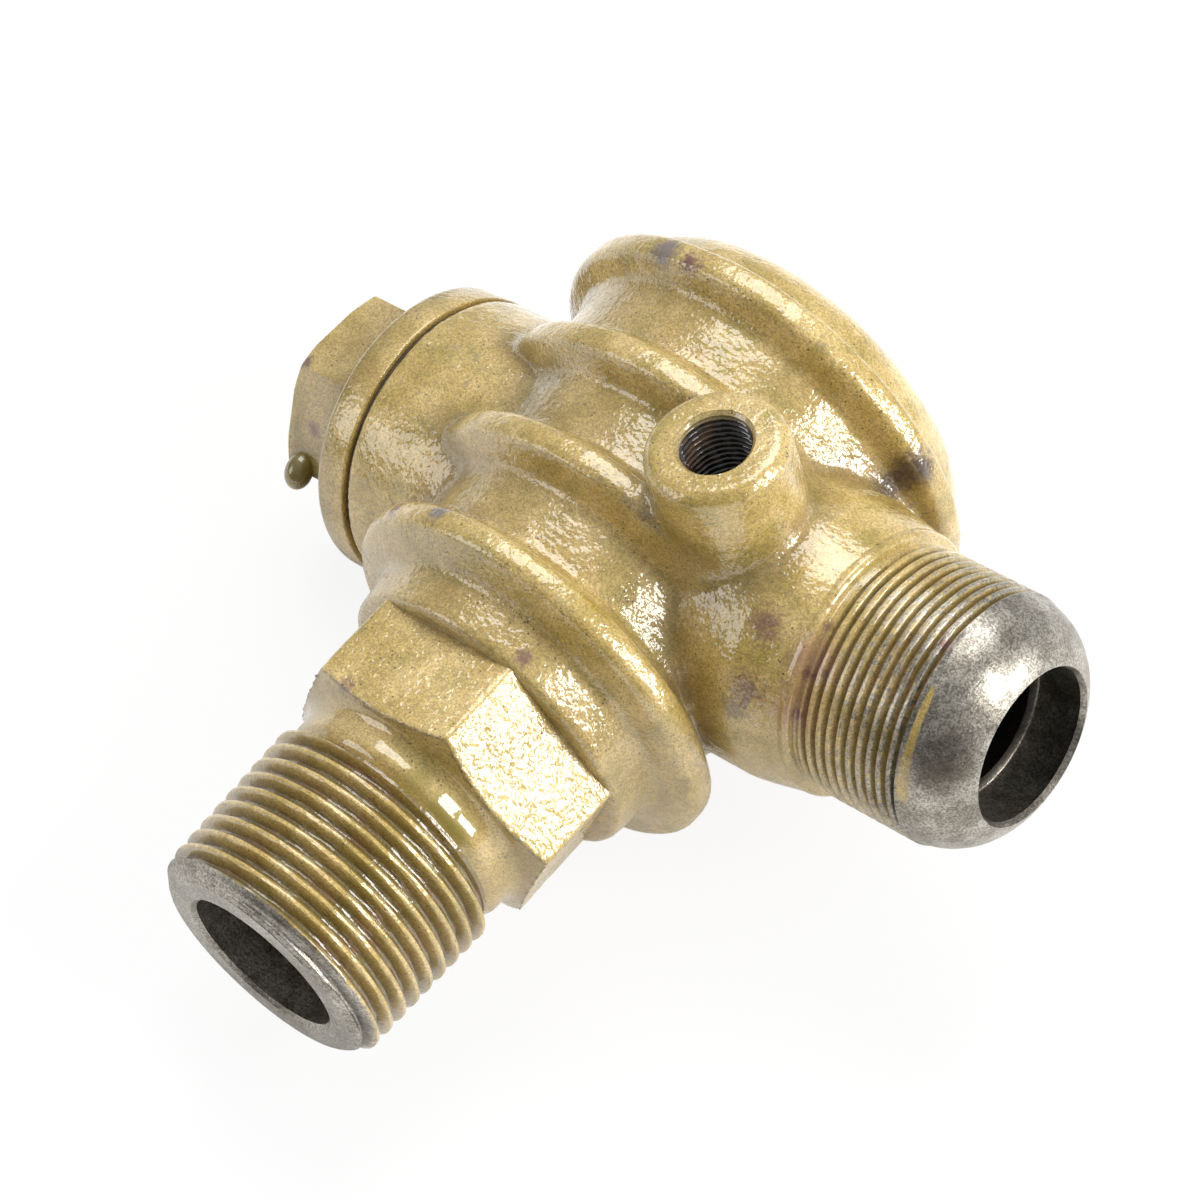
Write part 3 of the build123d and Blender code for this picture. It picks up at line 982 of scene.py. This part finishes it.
@dataclass
class Casting:
    """Ribbed barrel, dome, inlet neck, plug neck and boss, blended as one cast skin."""

    start: float = 41.0
    start_r: float = 20.7
    end: float = 95.2
    end_r: float = 27.2
    dome_r: float = 28.2
    dome_length: float = 8.7
    crown: float = 1.6
    shoulder: float = 8.0
    ribs: int = 4
    first_rib: float = 50.2
    pitch: float = 15.0
    first_rib_r: float = 26.8
    rib_step: float = 1.25
    top_width: float = 3.4
    root_width: float = 7.0
    rib_round: float = 1.5
    neck_r: float = 18.7
    neck_taper_start: float = 28.6
    collar_r: float = 17.3
    neck_end: float = 36.0
    plug_r: float = 19.7
    plug_face: float = -33.8
    boss_r: float = 8.9
    boss_top: float = 31.4
    chamber_start: float = 53.0
    chamber_start_r: float = 17.1
    chamber_end: float = 98.9
    chamber_end_r: float = 22.6
    chamber_round: float = 6.5
    skin: float = 0.5

    def barrel_r(self, y: np.ndarray | float) -> np.ndarray | float:
        """Radius of the barrel between its ribs."""
        return self.start_r + (y - self.start) * ((self.end_r - self.start_r) / (self.end - self.start))

    def edge(self) -> list[Point]:
        """Outline of the barrel from its start to the middle of the dome.

        Returns:
            Stations and radii, with the corners rounded.
        """
        bend = self.rib_round
        corners: list[Triple] = [(self.start, 0, 0), (self.start, self.start_r, 0.8)]
        for number in range(self.ribs):
            centre = self.first_rib + number * self.pitch
            top_r = self.first_rib_r + number * self.rib_step
            near = centre - self.root_width / 2
            far = centre + self.root_width / 2
            half = self.top_width / 2
            last = number == self.ribs - 1
            corners += [(near, self.barrel_r(near), bend), (centre - half, top_r, bend)]
            corners.append((centre + half, top_r, 1.1 if last else bend))
            if not last:
                corners.append((far, self.barrel_r(far), bend))
        dome_end = self.end + self.dome_length
        middle_r = self.dome_r - self.shoulder
        for degrees in range(10, 91, 10):
            angle = math.radians(degrees)
            station = dome_end - self.shoulder + self.shoulder * math.sin(angle)
            corners.append((station, middle_r + self.shoulder * math.cos(angle), 0))
        corners += [(dome_end + self.crown * 0.75, middle_r * 0.5, 0), (dome_end + self.crown, 0, 0)]
        return softened(corners, 7)

    def build(self) -> Piece:
        """Blend the forms into one skin, soften where they meet and hollow them.

        Returns:
            The casting.
        """
        edge = self.edge()
        barrel = turned("casting", edge, Line.TANK, 180, closed=False)
        neck = turned("neck", softened([
            (0, 0, 0), (0, self.neck_r, 0), (self.neck_taper_start, self.neck_r, 0),
            (self.neck_end, self.collar_r, 0), (self.neck_end, 0, 0),
        ]), Line.INLET, 144, closed=False)
        plug = turned("plug_neck", softened([
            (0, 0, 0), (self.plug_face, 0, 0), (self.plug_face, self.plug_r, 0.7), (0, self.plug_r, 0),
        ]), Line.INLET, 144, closed=False)
        boss = turned("boss", softened([
            (0, 0, 0), (0, self.boss_r, 0), (self.boss_top - 1.2, self.boss_r, 0.5),
            (self.boss_top, self.boss_r - 1.1, 0.4), (self.boss_top, 0, 0),
        ]), Line.BOSS, 96, closed=False)
        piece = joined("casting", [barrel, neck, plug, boss])
        remesh(piece, self.skin)
        self.soften_meetings(piece, edge)
        for size, height in ((11.0, 0.30), (3.2, 0.10)):
            unsettle(piece, size, height)
        self.level_boss(piece)
        self.measure(piece, edge)
        self.hollow_out(piece)
        smooth_by_angle(piece, 50)
        return piece

    def second_gap(self, places: np.ndarray, edge: list[Point]) -> np.ndarray:
        """Distance from the second nearest of barrel, necks and boss, which is small where two forms meet.

        Args:
            places: Vertex places in millimetres.
            edge: The barrel's outline.

        Returns:
            One distance for each place, in millimetres.
        """
        x, y, z = places.T
        outline = np.array(edge)
        barrel = np.abs(np.hypot(x, z) - np.interp(y, outline[:, 0], outline[:, 1]))
        barrel = np.where(y > self.end + self.dome_length - 2, 20, barrel)
        side = np.hypot(y - CROSSING_Y, z)
        neck_radius = np.interp(x, [self.neck_taper_start, self.neck_end], [self.neck_r, self.collar_r])
        neck = np.where(x > 0, np.abs(side - neck_radius), 50)
        plug = np.where(x < 0, np.abs(side - self.plug_r), 50)
        boss = np.where(z > 5, np.abs(np.hypot(x - BOSS_X, y - CROSSING_Y) - self.boss_r), 50)
        return np.sort(np.stack([barrel, neck, plug, boss], axis=1), axis=1)[:, 1]

    def soften_meetings(self, piece: Piece, edge: list[Point]) -> None:
        """Smooth the skin where two forms meet, as cast fillets.

        Args:
            piece: The skin.
            edge: The barrel's outline.
        """
        weigh(piece, "meeting", limited(1.2 - self.second_gap(coordinates(piece), edge) / 2.6), 10)
        for group, rounds in (("meeting", 28), ("", 1)):
            smooth(piece, rounds, group)
        piece.vertex_groups.clear()

    def level_boss(self, piece: Piece) -> None:
        """Face the boss flat, as its sealing washer needs.

        Args:
            piece: The roughened skin.
        """
        places = coordinates(piece)
        places[:, 2] = np.minimum(places[:, 2], self.boss_top)
        set_coordinates(piece, places)

    def measure(self, piece: Piece, edge: list[Point]) -> None:
        """Note how deep in a hollow each point lies, for painted shade in the valleys and where forms meet,
        how high on a rib and how near a rib's lower flank.

        Args:
            piece: The finished skin.
            edge: The barrel's outline.
        """
        places = coordinates(piece)
        x, y, z = places.T
        base = self.barrel_r(y)
        rib_top = self.first_rib_r + (y - self.first_rib) / self.pitch * self.rib_step
        on_dome = y > self.end + 2.5
        rise = np.where(on_dome, 0.4, np.clip((np.hypot(x, z) - base) / (rib_top - base), 0, 1.2))
        meeting = limited(1.1 - self.second_gap(places, edge) / 4.0)
        # Painted shade: valleys between the ribs and the fillets where forms meet are darkened.
        hollow = np.where(on_dome, meeting, meeting * 0.9 + limited(0.45 - rise) * 0.9)
        along = (y - self.first_rib + self.pitch / 2) % self.pitch - self.pitch / 2
        flank = limited(1.25 - np.abs(along + 2.0) / 1.7) * limited((rise - 0.1) * 4)
        add_measures(
            piece,
            hollow=limited(hollow) * 0.6,
            crest=limited((rise - 0.8) / 0.2) * (y < self.end + 2),
            pitted=flank * (np.abs(x) < 28) * (y < self.end),
        )

    def hollow_out(self, piece: Piece) -> None:
        """Cut the chamber, the bores and the plug's hole.

        Args:
            piece: The finished skin.
        """
        chamber = turned("chamber", softened([
            (self.chamber_start, 0, 0), (self.chamber_start, self.chamber_start_r, self.chamber_round),
            (self.chamber_end, self.chamber_end_r, self.chamber_round), (self.chamber_end, 0, 0),
        ], 6), Line.TANK, 96, closed=False)
        for tool in (
            rod("tank_bore", 30, 58, 10.45, Line.TANK),
            rod("plug_hole", -40, -6, 16.0, Line.INLET),
            rod("inlet_bore", 4, 45, 13.0, Line.INLET),
            rod("boss_bore", 10, 40, 4.95, Line.BOSS, 64),
        ):
            boolean(chamber, tool, "UNION")
        boolean(piece, chamber, "DIFFERENCE")


@dataclass
class InletEnd:
    """Seat tube, bore, collar, parallel thread and rounded nose of the inlet."""

    seat: float = 9.5
    lip: float = 0.8
    lip_r: float = 10.25
    tube_r: float = 13.5
    bore_r: float = 8.25
    collar_r: float = 17.4
    collar_start: float = 34.9
    collar_end: float = 36.8
    relief_r: float = 16.0
    thread_start: float = 38.0
    thread_end: float = 52.2
    thread_r: float = 16.3
    pitch: float = 1.5
    depth: float = 0.8
    land_r: float = 16.1
    length: float = 59.8
    nose_round: float = 9.0
    mouth_r: float = 10.15
    mouth_depth: float = 7.0

    def profile(self) -> list[Point]:
        """Profile of the turned blank, along the outside and back through the bore.

        Returns:
            Its points.
        """
        collar_near, collar_far = self.collar_start + 0.1, self.collar_end - 0.1
        points = softened([
            (self.seat, self.bore_r, 0.15), (self.seat, self.lip_r, 0.3),
            (self.seat + self.lip, self.lip_r + 0.4, 0), (self.seat + self.lip, self.tube_r, 0.4),
            (self.collar_start - 2.0, self.tube_r, 0), (self.collar_start, self.collar_r - 1.0, 0),
            (collar_near, self.collar_r - 0.05, 0.35), (collar_far, self.collar_r, 0.75),
            (self.collar_end + 0.15, self.relief_r, 0.45), (self.thread_start - 0.6, self.relief_r, 0),
        ], 6)
        points += [(x, self.thread_r) for x in stations(self.thread_start - 0.2, self.thread_end, 0.1)]
        centre_r = self.land_r - self.nose_round
        rise = self.mouth_r + 0.2 - centre_r
        nose_start = self.length - math.sqrt(self.nose_round**2 - rise**2)
        first = math.asin((self.thread_end + 0.4 - nose_start) / self.nose_round)
        full = math.atan2(self.length - nose_start, rise)
        points += [
            (nose_start + self.nose_round * math.sin(angle), centre_r + self.nose_round * math.cos(angle))
            for angle in stations(first, full, full / 26)
        ]
        floor = self.length - self.mouth_depth
        points += softened([
            (self.length, self.mouth_r, 0.1), (floor, self.mouth_r, 0.3), (floor, self.bore_r, 0.02),
        ], 3)
        return points + [(x, self.bore_r) for x in stations(floor - 1, self.seat + 1, 4)]

    def build(self) -> Piece:
        """Turn the inlet end, cut its thread and drill the boss's passage into it.

        Returns:
            The piece.
        """
        piece = turned("inlet_thread", self.profile(), Line.INLET, 144)
        thread = ThreadForm(
            self.pitch, self.depth, self.thread_r, start=self.thread_start - 0.3, end=self.thread_end,
            crest_share=0.34, root_share=0.12, shift=-0.5,
        )
        thread.cut(piece, Line.INLET)
        boolean(piece, rod("passage", 0, 20, BossThread.passage_r, Line.BOSS, 48), "DIFFERENCE")
        self.measure(piece)
        smooth_by_angle(piece, 38)
        return piece

    def measure(self, piece: Piece) -> None:
        """Note the thread's roots and the inside of the mouth and bore, darkened as painted shade, the
        lacquer that thins out towards the nose and the smear left on it.

        Args:
            piece: The finished inlet end.
        """
        x, y, z = coordinates(piece).T
        radius = np.hypot(y - CROSSING_Y, z)
        depth = limited((self.thread_r - radius) / self.depth)
        threaded = (x > self.thread_start) & (x < self.thread_end) & (radius > 15)
        outer = radius > 14.5
        thinning = [self.collar_end, self.thread_start + 3, self.thread_end - 1, self.thread_end + 1]
        bare = np.interp(x, thinning, [0, 0.36, 0.5, 0.9])
        bare = np.where(threaded, bare - (depth - 0.4) * 0.3, bare)
        bare = np.where(outer & (x < self.collar_end + 0.1), 0, bare)
        turn = np.degrees(np.arctan2(z, y - CROSSING_Y))
        width = np.interp(turn, [108, 168], [0.2, 0.7])
        smear = limited(1.5 - np.abs(x - self.thread_end - 1.0) / width) * (x > self.thread_end - 0.2)
        smear *= limited((turn - 104) / 16) * limited((172 - turn) / 8)
        bare = bare * (1 - smear)
        # Painted shade: the mouth wall is darkened a little and the bore beyond it almost to black.
        inside = (radius < self.mouth_r + 0.25) & (x < self.length - 0.05)
        deep = np.where(inside, np.where(radius > self.mouth_r - 0.3, 0.35, 1.05), 0.1)
        add_measures(
            piece,
            bare=np.where(~inside & (outer | (x > self.thread_end + 1)), bare, 0.95),
            hollow=np.where(threaded, depth * 0.8, deep),
        )


@dataclass
class BossThread:
    """Tapped hole of the small outlet boss."""

    top: float = 31.4
    depth_down: float = 12.0
    core_r: float = 4.4
    wall_r: float = 5.3
    mouth_r: float = 4.95
    pitch: float = 0.907
    depth: float = 0.5
    passage_r: float = 2.0

    def build(self) -> Piece:
        """Turn the lining of the hole and cut its thread.

        Returns:
            The lining.
        """
        low = self.top - self.depth_down
        foot = low - 6
        profile = [(foot, self.wall_r), (self.top - 0.35, self.wall_r)]
        profile.append((self.top - 0.05, self.mouth_r + 0.1))
        for z in stations(self.top - 0.15, low, 0.07):
            profile.append((z, self.core_r + max(0.0, z - (self.top - 0.6))))
        profile += [(low - 1.6, self.passage_r), (foot, self.passage_r)]
        piece = turned("boss_thread", profile, Line.BOSS, 96)
        thread = ThreadForm(self.pitch, self.depth, self.core_r, 0.0, low + 1, self.top + 1, inside=True)
        thread.cut(piece, Line.BOSS)
        # Painted shade: the tapped hole darkens towards black below its mouth.
        height = coordinates(piece)[:, 2]
        add_measures(piece, hollow=np.interp(height, [self.top - 1.4, self.top - 0.6], [1.1, 0.1]))
        smooth_by_angle(piece, 38)
        return piece


@dataclass
class AccessPlug:
    """Flange, hexagon head, spigot and guide of the access plug."""

    seat: float = -34.4
    flange: float = 4.8
    flange_r: float = 19.7
    spigot_end: float = -22.8
    spigot_r: float = 15.95
    guide_r: float = 6.5
    guide_bore_r: float = 4.0
    bore_depth: float = 28.0
    across_flats: float = 24.5
    turn: float = 57.4
    head: float = 12.2
    edge_width: float = 0.45
    drop_centre: Triple = (-48.3, 58.4, 1.1)
    drop_r: float = 1.85

    def build(self) -> Piece:
        """Turn the plug, join its hexagon and its drop of lacquer to it and note where it is darkened:
        beside the head as painted shade, and over the drop.

        Returns:
            The plug.
        """
        outer_face = self.seat - self.flange
        low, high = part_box("hex_plug")
        guide_end = high.x / MM
        bore_end = guide_end - self.bore_depth
        piece = turned("access_plug", softened([
            (outer_face, 0, 0), (outer_face, self.flange_r, 1.0), (self.seat, self.flange_r, 0.3),
            (self.seat, self.spigot_r - 0.6, 0), (self.spigot_end, self.spigot_r, 0.6),
            (self.spigot_end, self.guide_r, 0.8), (guide_end, self.guide_r, 0.4),
            (guide_end, self.guide_bore_r, 0.2), (bore_end, self.guide_bore_r, 0), (bore_end, 0, 0),
        ], 5), Line.INLET, 128, closed=False)
        boolean(piece, self.hexagon(outer_face), "UNION")
        boolean(piece, self.drop(), "UNION")
        places = coordinates(piece)
        # Painted shade in the crease where the head meets the flange; the drop is darkened by the same
        # measure.
        shade_beside_head = limited(1 - np.abs(places[:, 0] - outer_face) / 2.0) * 0.8
        drop = limited(1.6 - np.linalg.norm((places - self.drop_centre) / 2.2, axis=1))
        add_measures(piece, hollow=np.maximum(shade_beside_head, drop), turned=limited(drop * 2))
        smooth_by_angle(piece, 32)
        return piece

    def hexagon(self, outer_face: float) -> Piece:
        """Cut the head from a six-sided bar, with a turned lead and broken edges.

        Args:
            outer_face: Station of the flange's outer face.

        Returns:
            The head, which reaches 1 mm into the flange.
        """
        end, root = outer_face - self.head, outer_face + 1
        corner_r = self.across_flats / math.sqrt(3)
        head = hexagon_bar("head", end, root, self.across_flats, Line.INLET, self.turn)
        full = corner_r + 0.05
        lead = [(end, 0), (end, corner_r - 1.5), (end + 0.8, full), (root, full), (root, 0)]
        boolean(head, turned("lead", lead, Line.INLET, 96, closed=False), "INTERSECT")
        modify(
            head, "BEVEL", width=self.edge_width * MM, segments=3, limit_method="ANGLE",
            angle_limit=math.radians(24),
        )
        return head

    def drop(self) -> Piece:
        """Bead of lacquer that ran down the hexagon and set at its lower corner.

        Returns:
            The bead, long towards the ground as the plug was hung for painting.
        """
        start_clean()
        bpy.ops.mesh.primitive_uv_sphere_add(segments=40, ring_count=24, radius=self.drop_r * MM)
        bead = bpy.context.object
        places = coordinates(bead)
        hang = np.array((0.05, -0.78, -0.62))
        hang = hang / np.linalg.norm(hang)
        share = places @ hang / self.drop_r
        swell = 1 + 0.12 * share
        shaped = places * swell[:, None] + np.outer(share * self.drop_r * 0.35, hang)
        set_coordinates(bead, shaped + np.array(self.drop_centre))
        return bead


@dataclass
class FlatRing:
    """Fibre ring under the plug's flange."""

    bore_r: float = 16.0

    def build(self) -> Piece:
        """Turn the ring.

        Returns:
            The ring.
        """
        low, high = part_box("plug_gasket")
        outer = (high.y - low.y) / 2 / MM
        first, last = low.x / MM, high.x / MM
        piece = turned("sealing_ring", softened([
            (first, self.bore_r, 0.1), (first, outer, 0.25), (last, outer, 0.25), (last, self.bore_r, 0.1),
        ], 3), Line.INLET, 128)
        smooth_by_angle(piece, 30)
        return piece


@dataclass
class Spring:
    """Return spring round the guide."""

    wire: float = 1.2
    coil_r: float = 8.0
    turns: float = 7.0
    sides: int = 14
    steps_per_turn: int = 28
    closed_share: float = 0.09

    def build(self) -> Piece:
        """Extrude the wire straight, then wind it along its helix, closer at its ends.

        Returns:
            The spring.
        """
        low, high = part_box("return_spring")
        first, last = low.x / MM, high.x / MM
        half = self.wire / 2
        start_clean()
        bpy.ops.mesh.primitive_circle_add(vertices=self.sides, radius=half * MM, fill_type="NGON")
        piece = bpy.context.object
        piece.name = "coil_spring"
        bpy.ops.object.mode_set(mode="EDIT")
        bpy.ops.mesh.select_all(action="SELECT")
        steps = int(self.turns * self.steps_per_turn)
        step = 0.1
        for _ in range(steps):
            bpy.ops.mesh.extrude_region_move(TRANSFORM_OT_translate={"value": (0, 0, step * MM)})
        bpy.ops.object.mode_set(mode="OBJECT")
        across, along, run = coordinates(piece).T
        share = run / (step * steps)
        angle = share * self.turns * 2 * math.pi
        climb = limited((share - self.closed_share) / (1 - 2 * self.closed_share))
        rise = climb * (last - first - self.wire * 1.25) + share * self.wire * 0.97902
        middle = np.interp(rise, [rise.min(), rise.max()], [first + half * 0.5, last - half * 0.5])
        radius = self.coil_r + across
        wound = [
            np.clip(middle + along, first, last),
            CROSSING_Y + radius * np.cos(angle),
            radius * np.sin(angle),
        ]
        set_coordinates(piece, np.stack(wound, axis=1))
        mend(piece, 0)
        smooth_by_angle(piece, 50)
        return piece


@dataclass(frozen=True)
class Softbox:
    """One square soft light, with its direction from the valve as shares of camera right, up and back."""

    name: str
    toward: Triple
    distance: float
    size: float
    power: float


@dataclass
class Studio:
    """Camera, floor, backdrop and soft lights."""

    location: Triple = (266.788, -113.821, 371.796)
    right: Triple = (0.73854, 0.63441, -0.22821)
    down: Triple = (0.39867, -0.68390, -0.61102)
    forward: Triple = (-0.54371, 0.36028, -0.75801)
    lens: float = 119.315
    floor_up: Triple = (0.245, 0.08, 0.966)
    floor_size: float = 6.0
    floor_gap: float = 0.0001
    floor_glow: float = 0.88
    world_level: float = 0.53
    world_dark: float = 0.06
    bright_side: Triple = (0.1, 0.75, 0.55)
    valve_middle: Triple = (0.005, 0.060, 0)
    lights: tuple[Softbox, ...] = (
        Softbox("right_softbox", (0.895, -0.06, 0.444), 0.8, 0.30, 3.5),
        Softbox("front_softbox", (0.64, 0.10, 0.76), 0.8, 0.26, 2.3),
        Softbox("left_softbox", (-0.92, 0.13, 0.35), 0.8, 0.36, 1.2),
        Softbox("top_softbox", (0.05, 0.9, 0.45), 0.9, 0.6, 5.6),
    )

    def axes(self) -> tuple[Vector, Vector, Vector]:
        """Camera right, up and back."""
        return Vector(self.right), -Vector(self.down), -Vector(self.forward)

    def add_camera(self) -> None:
        """Place the camera where the photograph was taken from."""
        start_clean()
        bpy.ops.object.camera_add()
        camera = bpy.context.object
        camera.data.sensor_width = 36.0
        camera.data.lens = self.lens
        camera.data.clip_start = 0.01
        camera.data.clip_end = 20.0
        turn = Matrix(self.axes()).transposed().to_4x4()
        camera.matrix_world = Matrix.Translation(Vector(self.location) * MM) @ turn
        bpy.context.scene.camera = camera

    def lowest(self, up: Vector) -> float:
        """Lowest height of the object along the floor's normal, in metres."""
        return min(up.dot(vertex.co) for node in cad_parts.values() for vertex in node.data.vertices)

    def add_floor(self) -> None:
        """Lay a pale floor, clear from below, under the valve as it lies in the photograph."""
        up = Vector(self.floor_up).normalized()
        height = self.lowest(up) - self.floor_gap
        start_clean()
        bpy.ops.mesh.primitive_grid_add(x_subdivisions=8, y_subdivisions=8, size=self.floor_size)
        floor = bpy.context.object
        floor.name = "floor"
        tilt = up.to_track_quat("Z", "Y").to_matrix().to_4x4()
        floor.matrix_world = Matrix.Translation(up * height) @ tilt
        settle(floor)
        material = bpy.data.materials.new("pale_floor")
        material.use_nodes = True
        tree = material.node_tree
        tree.nodes.clear()
        matt = add_node(tree, "BsdfDiffuse", {"Color": (0.95, 0.95, 0.95)}).outputs[0]
        glow = add_node(tree, "Emission", {"Color": WHITE, "Strength": 1.0}).outputs[0]
        clear = add_node(tree, "BsdfTransparent").outputs[0]
        camera_ray = add_node(tree, "LightPath").outputs["Is Camera Ray"]
        from_below = add_node(tree, "NewGeometry").outputs["Backfacing"]
        share = add_node(tree, "Math", {0: camera_ray, 1: self.floor_glow}, operation="MULTIPLY").outputs[0]
        seen = add_node(tree, "MixShader", {0: share, 1: matt, 2: glow}).outputs[0]
        both = add_node(tree, "MixShader", {0: from_below, 1: seen, 2: clear}).outputs[0]
        add_node(tree, "OutputMaterial", {"Surface": both})
        floor.data.materials.append(material)

    def add_world(self) -> None:
        """White backdrop, with a softer level for the light that it gives."""
        world = bpy.data.worlds.new("studio")
        bpy.context.scene.world = world
        world.use_nodes = True
        tree = world.node_tree
        direction = add_node(tree, "TexCoord").outputs["Generated"]
        bright = tuple(Vector(self.bright_side).normalized())
        facing = add_node(tree, "VectorMath", {0: direction, 1: bright}, operation="DOT_PRODUCT")
        inputs = {
            "Value": facing.outputs["Value"], "From Min": -0.9, "From Max": 0.8,
            "To Min": self.world_dark, "To Max": self.world_level,
        }
        shade = add_node(tree, "MapRange", inputs, interpolation_type="SMOOTHSTEP").outputs[0]
        path = add_node(tree, "LightPath").outputs
        rays = {0: path["Is Camera Ray"], 1: path["Is Transmission Ray"]}
        shown = add_node(tree, "Math", rays, operation="MAXIMUM").outputs[0]
        level = add_node(tree, "MapRange", {"Value": shown, "To Min": shade, "To Max": 1.0}).outputs[0]
        ground = tree.nodes["Background"]
        feed(tree, ground.inputs["Color"], WHITE)
        feed(tree, ground.inputs["Strength"], level)

    def add_light(self, box: Softbox) -> None:
        """Hang a square soft light.

        Args:
            box: Its name, direction, distance, size and power.
        """
        direction = sum((axis * part for axis, part in zip(self.axes(), box.toward)), Vector()).normalized()
        start_clean()
        bpy.ops.object.light_add(type="AREA", location=Vector(self.valve_middle) + direction * box.distance)
        light = bpy.context.object
        light.name = box.name
        light.data.shape = "SQUARE"
        light.data.size = box.size
        light.data.energy = box.power
        light.rotation_mode = "QUATERNION"
        light.rotation_quaternion = direction.to_track_quat("Z", "Y")

    def build(self) -> None:
        """Put the studio together."""
        self.add_camera()
        self.add_floor()
        self.add_world()
        for box in self.lights:
            self.add_light(box)
        bpy.context.scene.view_settings.view_transform = "Standard"


def dress(piece: Piece, finish: Lacquer | PlainFinish, body: str, slot: str, *nodes: str) -> None:
    """Give a piece its material, body and the CAD nodes that it stands for.

    Args:
        piece: The finished piece.
        finish: Its finish.
        body: The CAD body that it rides on.
        slot: Not used.
        nodes: CAD nodes that it replaces.
    """
    piece.data.materials.clear()
    piece.data.materials.append(finish.make())
    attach(piece, body)
    if nodes:
        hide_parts(*nodes)
    log.info("%s: %d faces on %s", piece.name, len(piece.data.polygons), body)


def build_valve() -> None:
    """Build and dress every piece of the valve that is seen, and its ring and spring."""
    # The inlet end's near-black metal colour is painted shade in its bore.
    inlet_iron = Lacquer(
        "inlet_end_iron", COLLAR_STAINS, shaded_metal=(0.018, 0.016, 0.013), peel=0.03, rings=Line.INLET,
    )
    # The tapped hole's near-black deep colour is painted shade inside it.
    tapped = Lacquer(
        "boss_thread_lacquer", peel=0.02, light=(0.5, 0.37, 0.15), body=(0.42, 0.30, 0.1),
        deep=(0.012, 0.011, 0.008),
    )
    for form, finish in (
        (Casting(), Lacquer("gold_lacquer", CASTING_STAINS)),
        (BodyHexagon(), Lacquer("hexagon_lacquer", HEXAGON_STAINS, peel=0.065)),
        (TankConnection(), Lacquer("tank_thread_lacquer", peel=0.03, rings=Line.TANK)),
        (InletEnd(), inlet_iron),
        (BossThread(), tapped),
    ):
        dress(form.build(), finish, "housing", "lacquered_casting", "valve_body")
    painted = Lacquer("plug_lacquer", PLUG_STAINS, peel=0.05)
    dress(AccessPlug().build(), painted, "housing", "lacquered_plug", "hex_plug")
    fibre = PlainFinish("fibre", (0.10, 0.07, 0.04), (0.04, 0.03, 0.02), 0.0, 0.75)
    dress(FlatRing().build(), fibre, "housing", "gasket_fibre", "plug_gasket")
    steel = PlainFinish("spring_steel", (0.45, 0.44, 0.42), (0.25, 0.24, 0.23), 1.0, 0.3)
    spring = Spring().build()
    dress(spring, steel, "housing", "spring_steel", "return_spring")
    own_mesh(spring)


def dress_inside() -> None:
    """Give the carried-over CAD nodes their finishes."""
    finishes = {
        "valve_piston": PlainFinish("turned_brass", (0.72, 0.50, 0.20), (0.48, 0.32, 0.12), 1.0, 0.28),
        "seal_disc": PlainFinish("black_rubber", (0.035, 0.033, 0.032), (0.02, 0.02, 0.02), 0.0, 0.6),
        "seal_washer": PlainFinish("washer_steel", (0.62, 0.61, 0.58), (0.42, 0.41, 0.39), 1.0, 0.3),
        "seal_screw": PlainFinish("screw_steel", (0.60, 0.58, 0.52), (0.38, 0.36, 0.32), 1.0, 0.32),
    }
    for node, finish in finishes.items():
        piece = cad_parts[node]
        piece.data.materials.clear()
        piece.data.materials.append(finish.make())
        for face in piece.data.polygons:
            face.material_index = 0
        log.info("%s: %s", node, finish.name)


def main() -> None:
    """Build the studio, then the valve."""
    logging.basicConfig(level=logging.INFO, format="%(name)s %(message)s")
    Studio().build()
    build_valve()
    dress_inside()


if __name__ == "__main__":
    main()
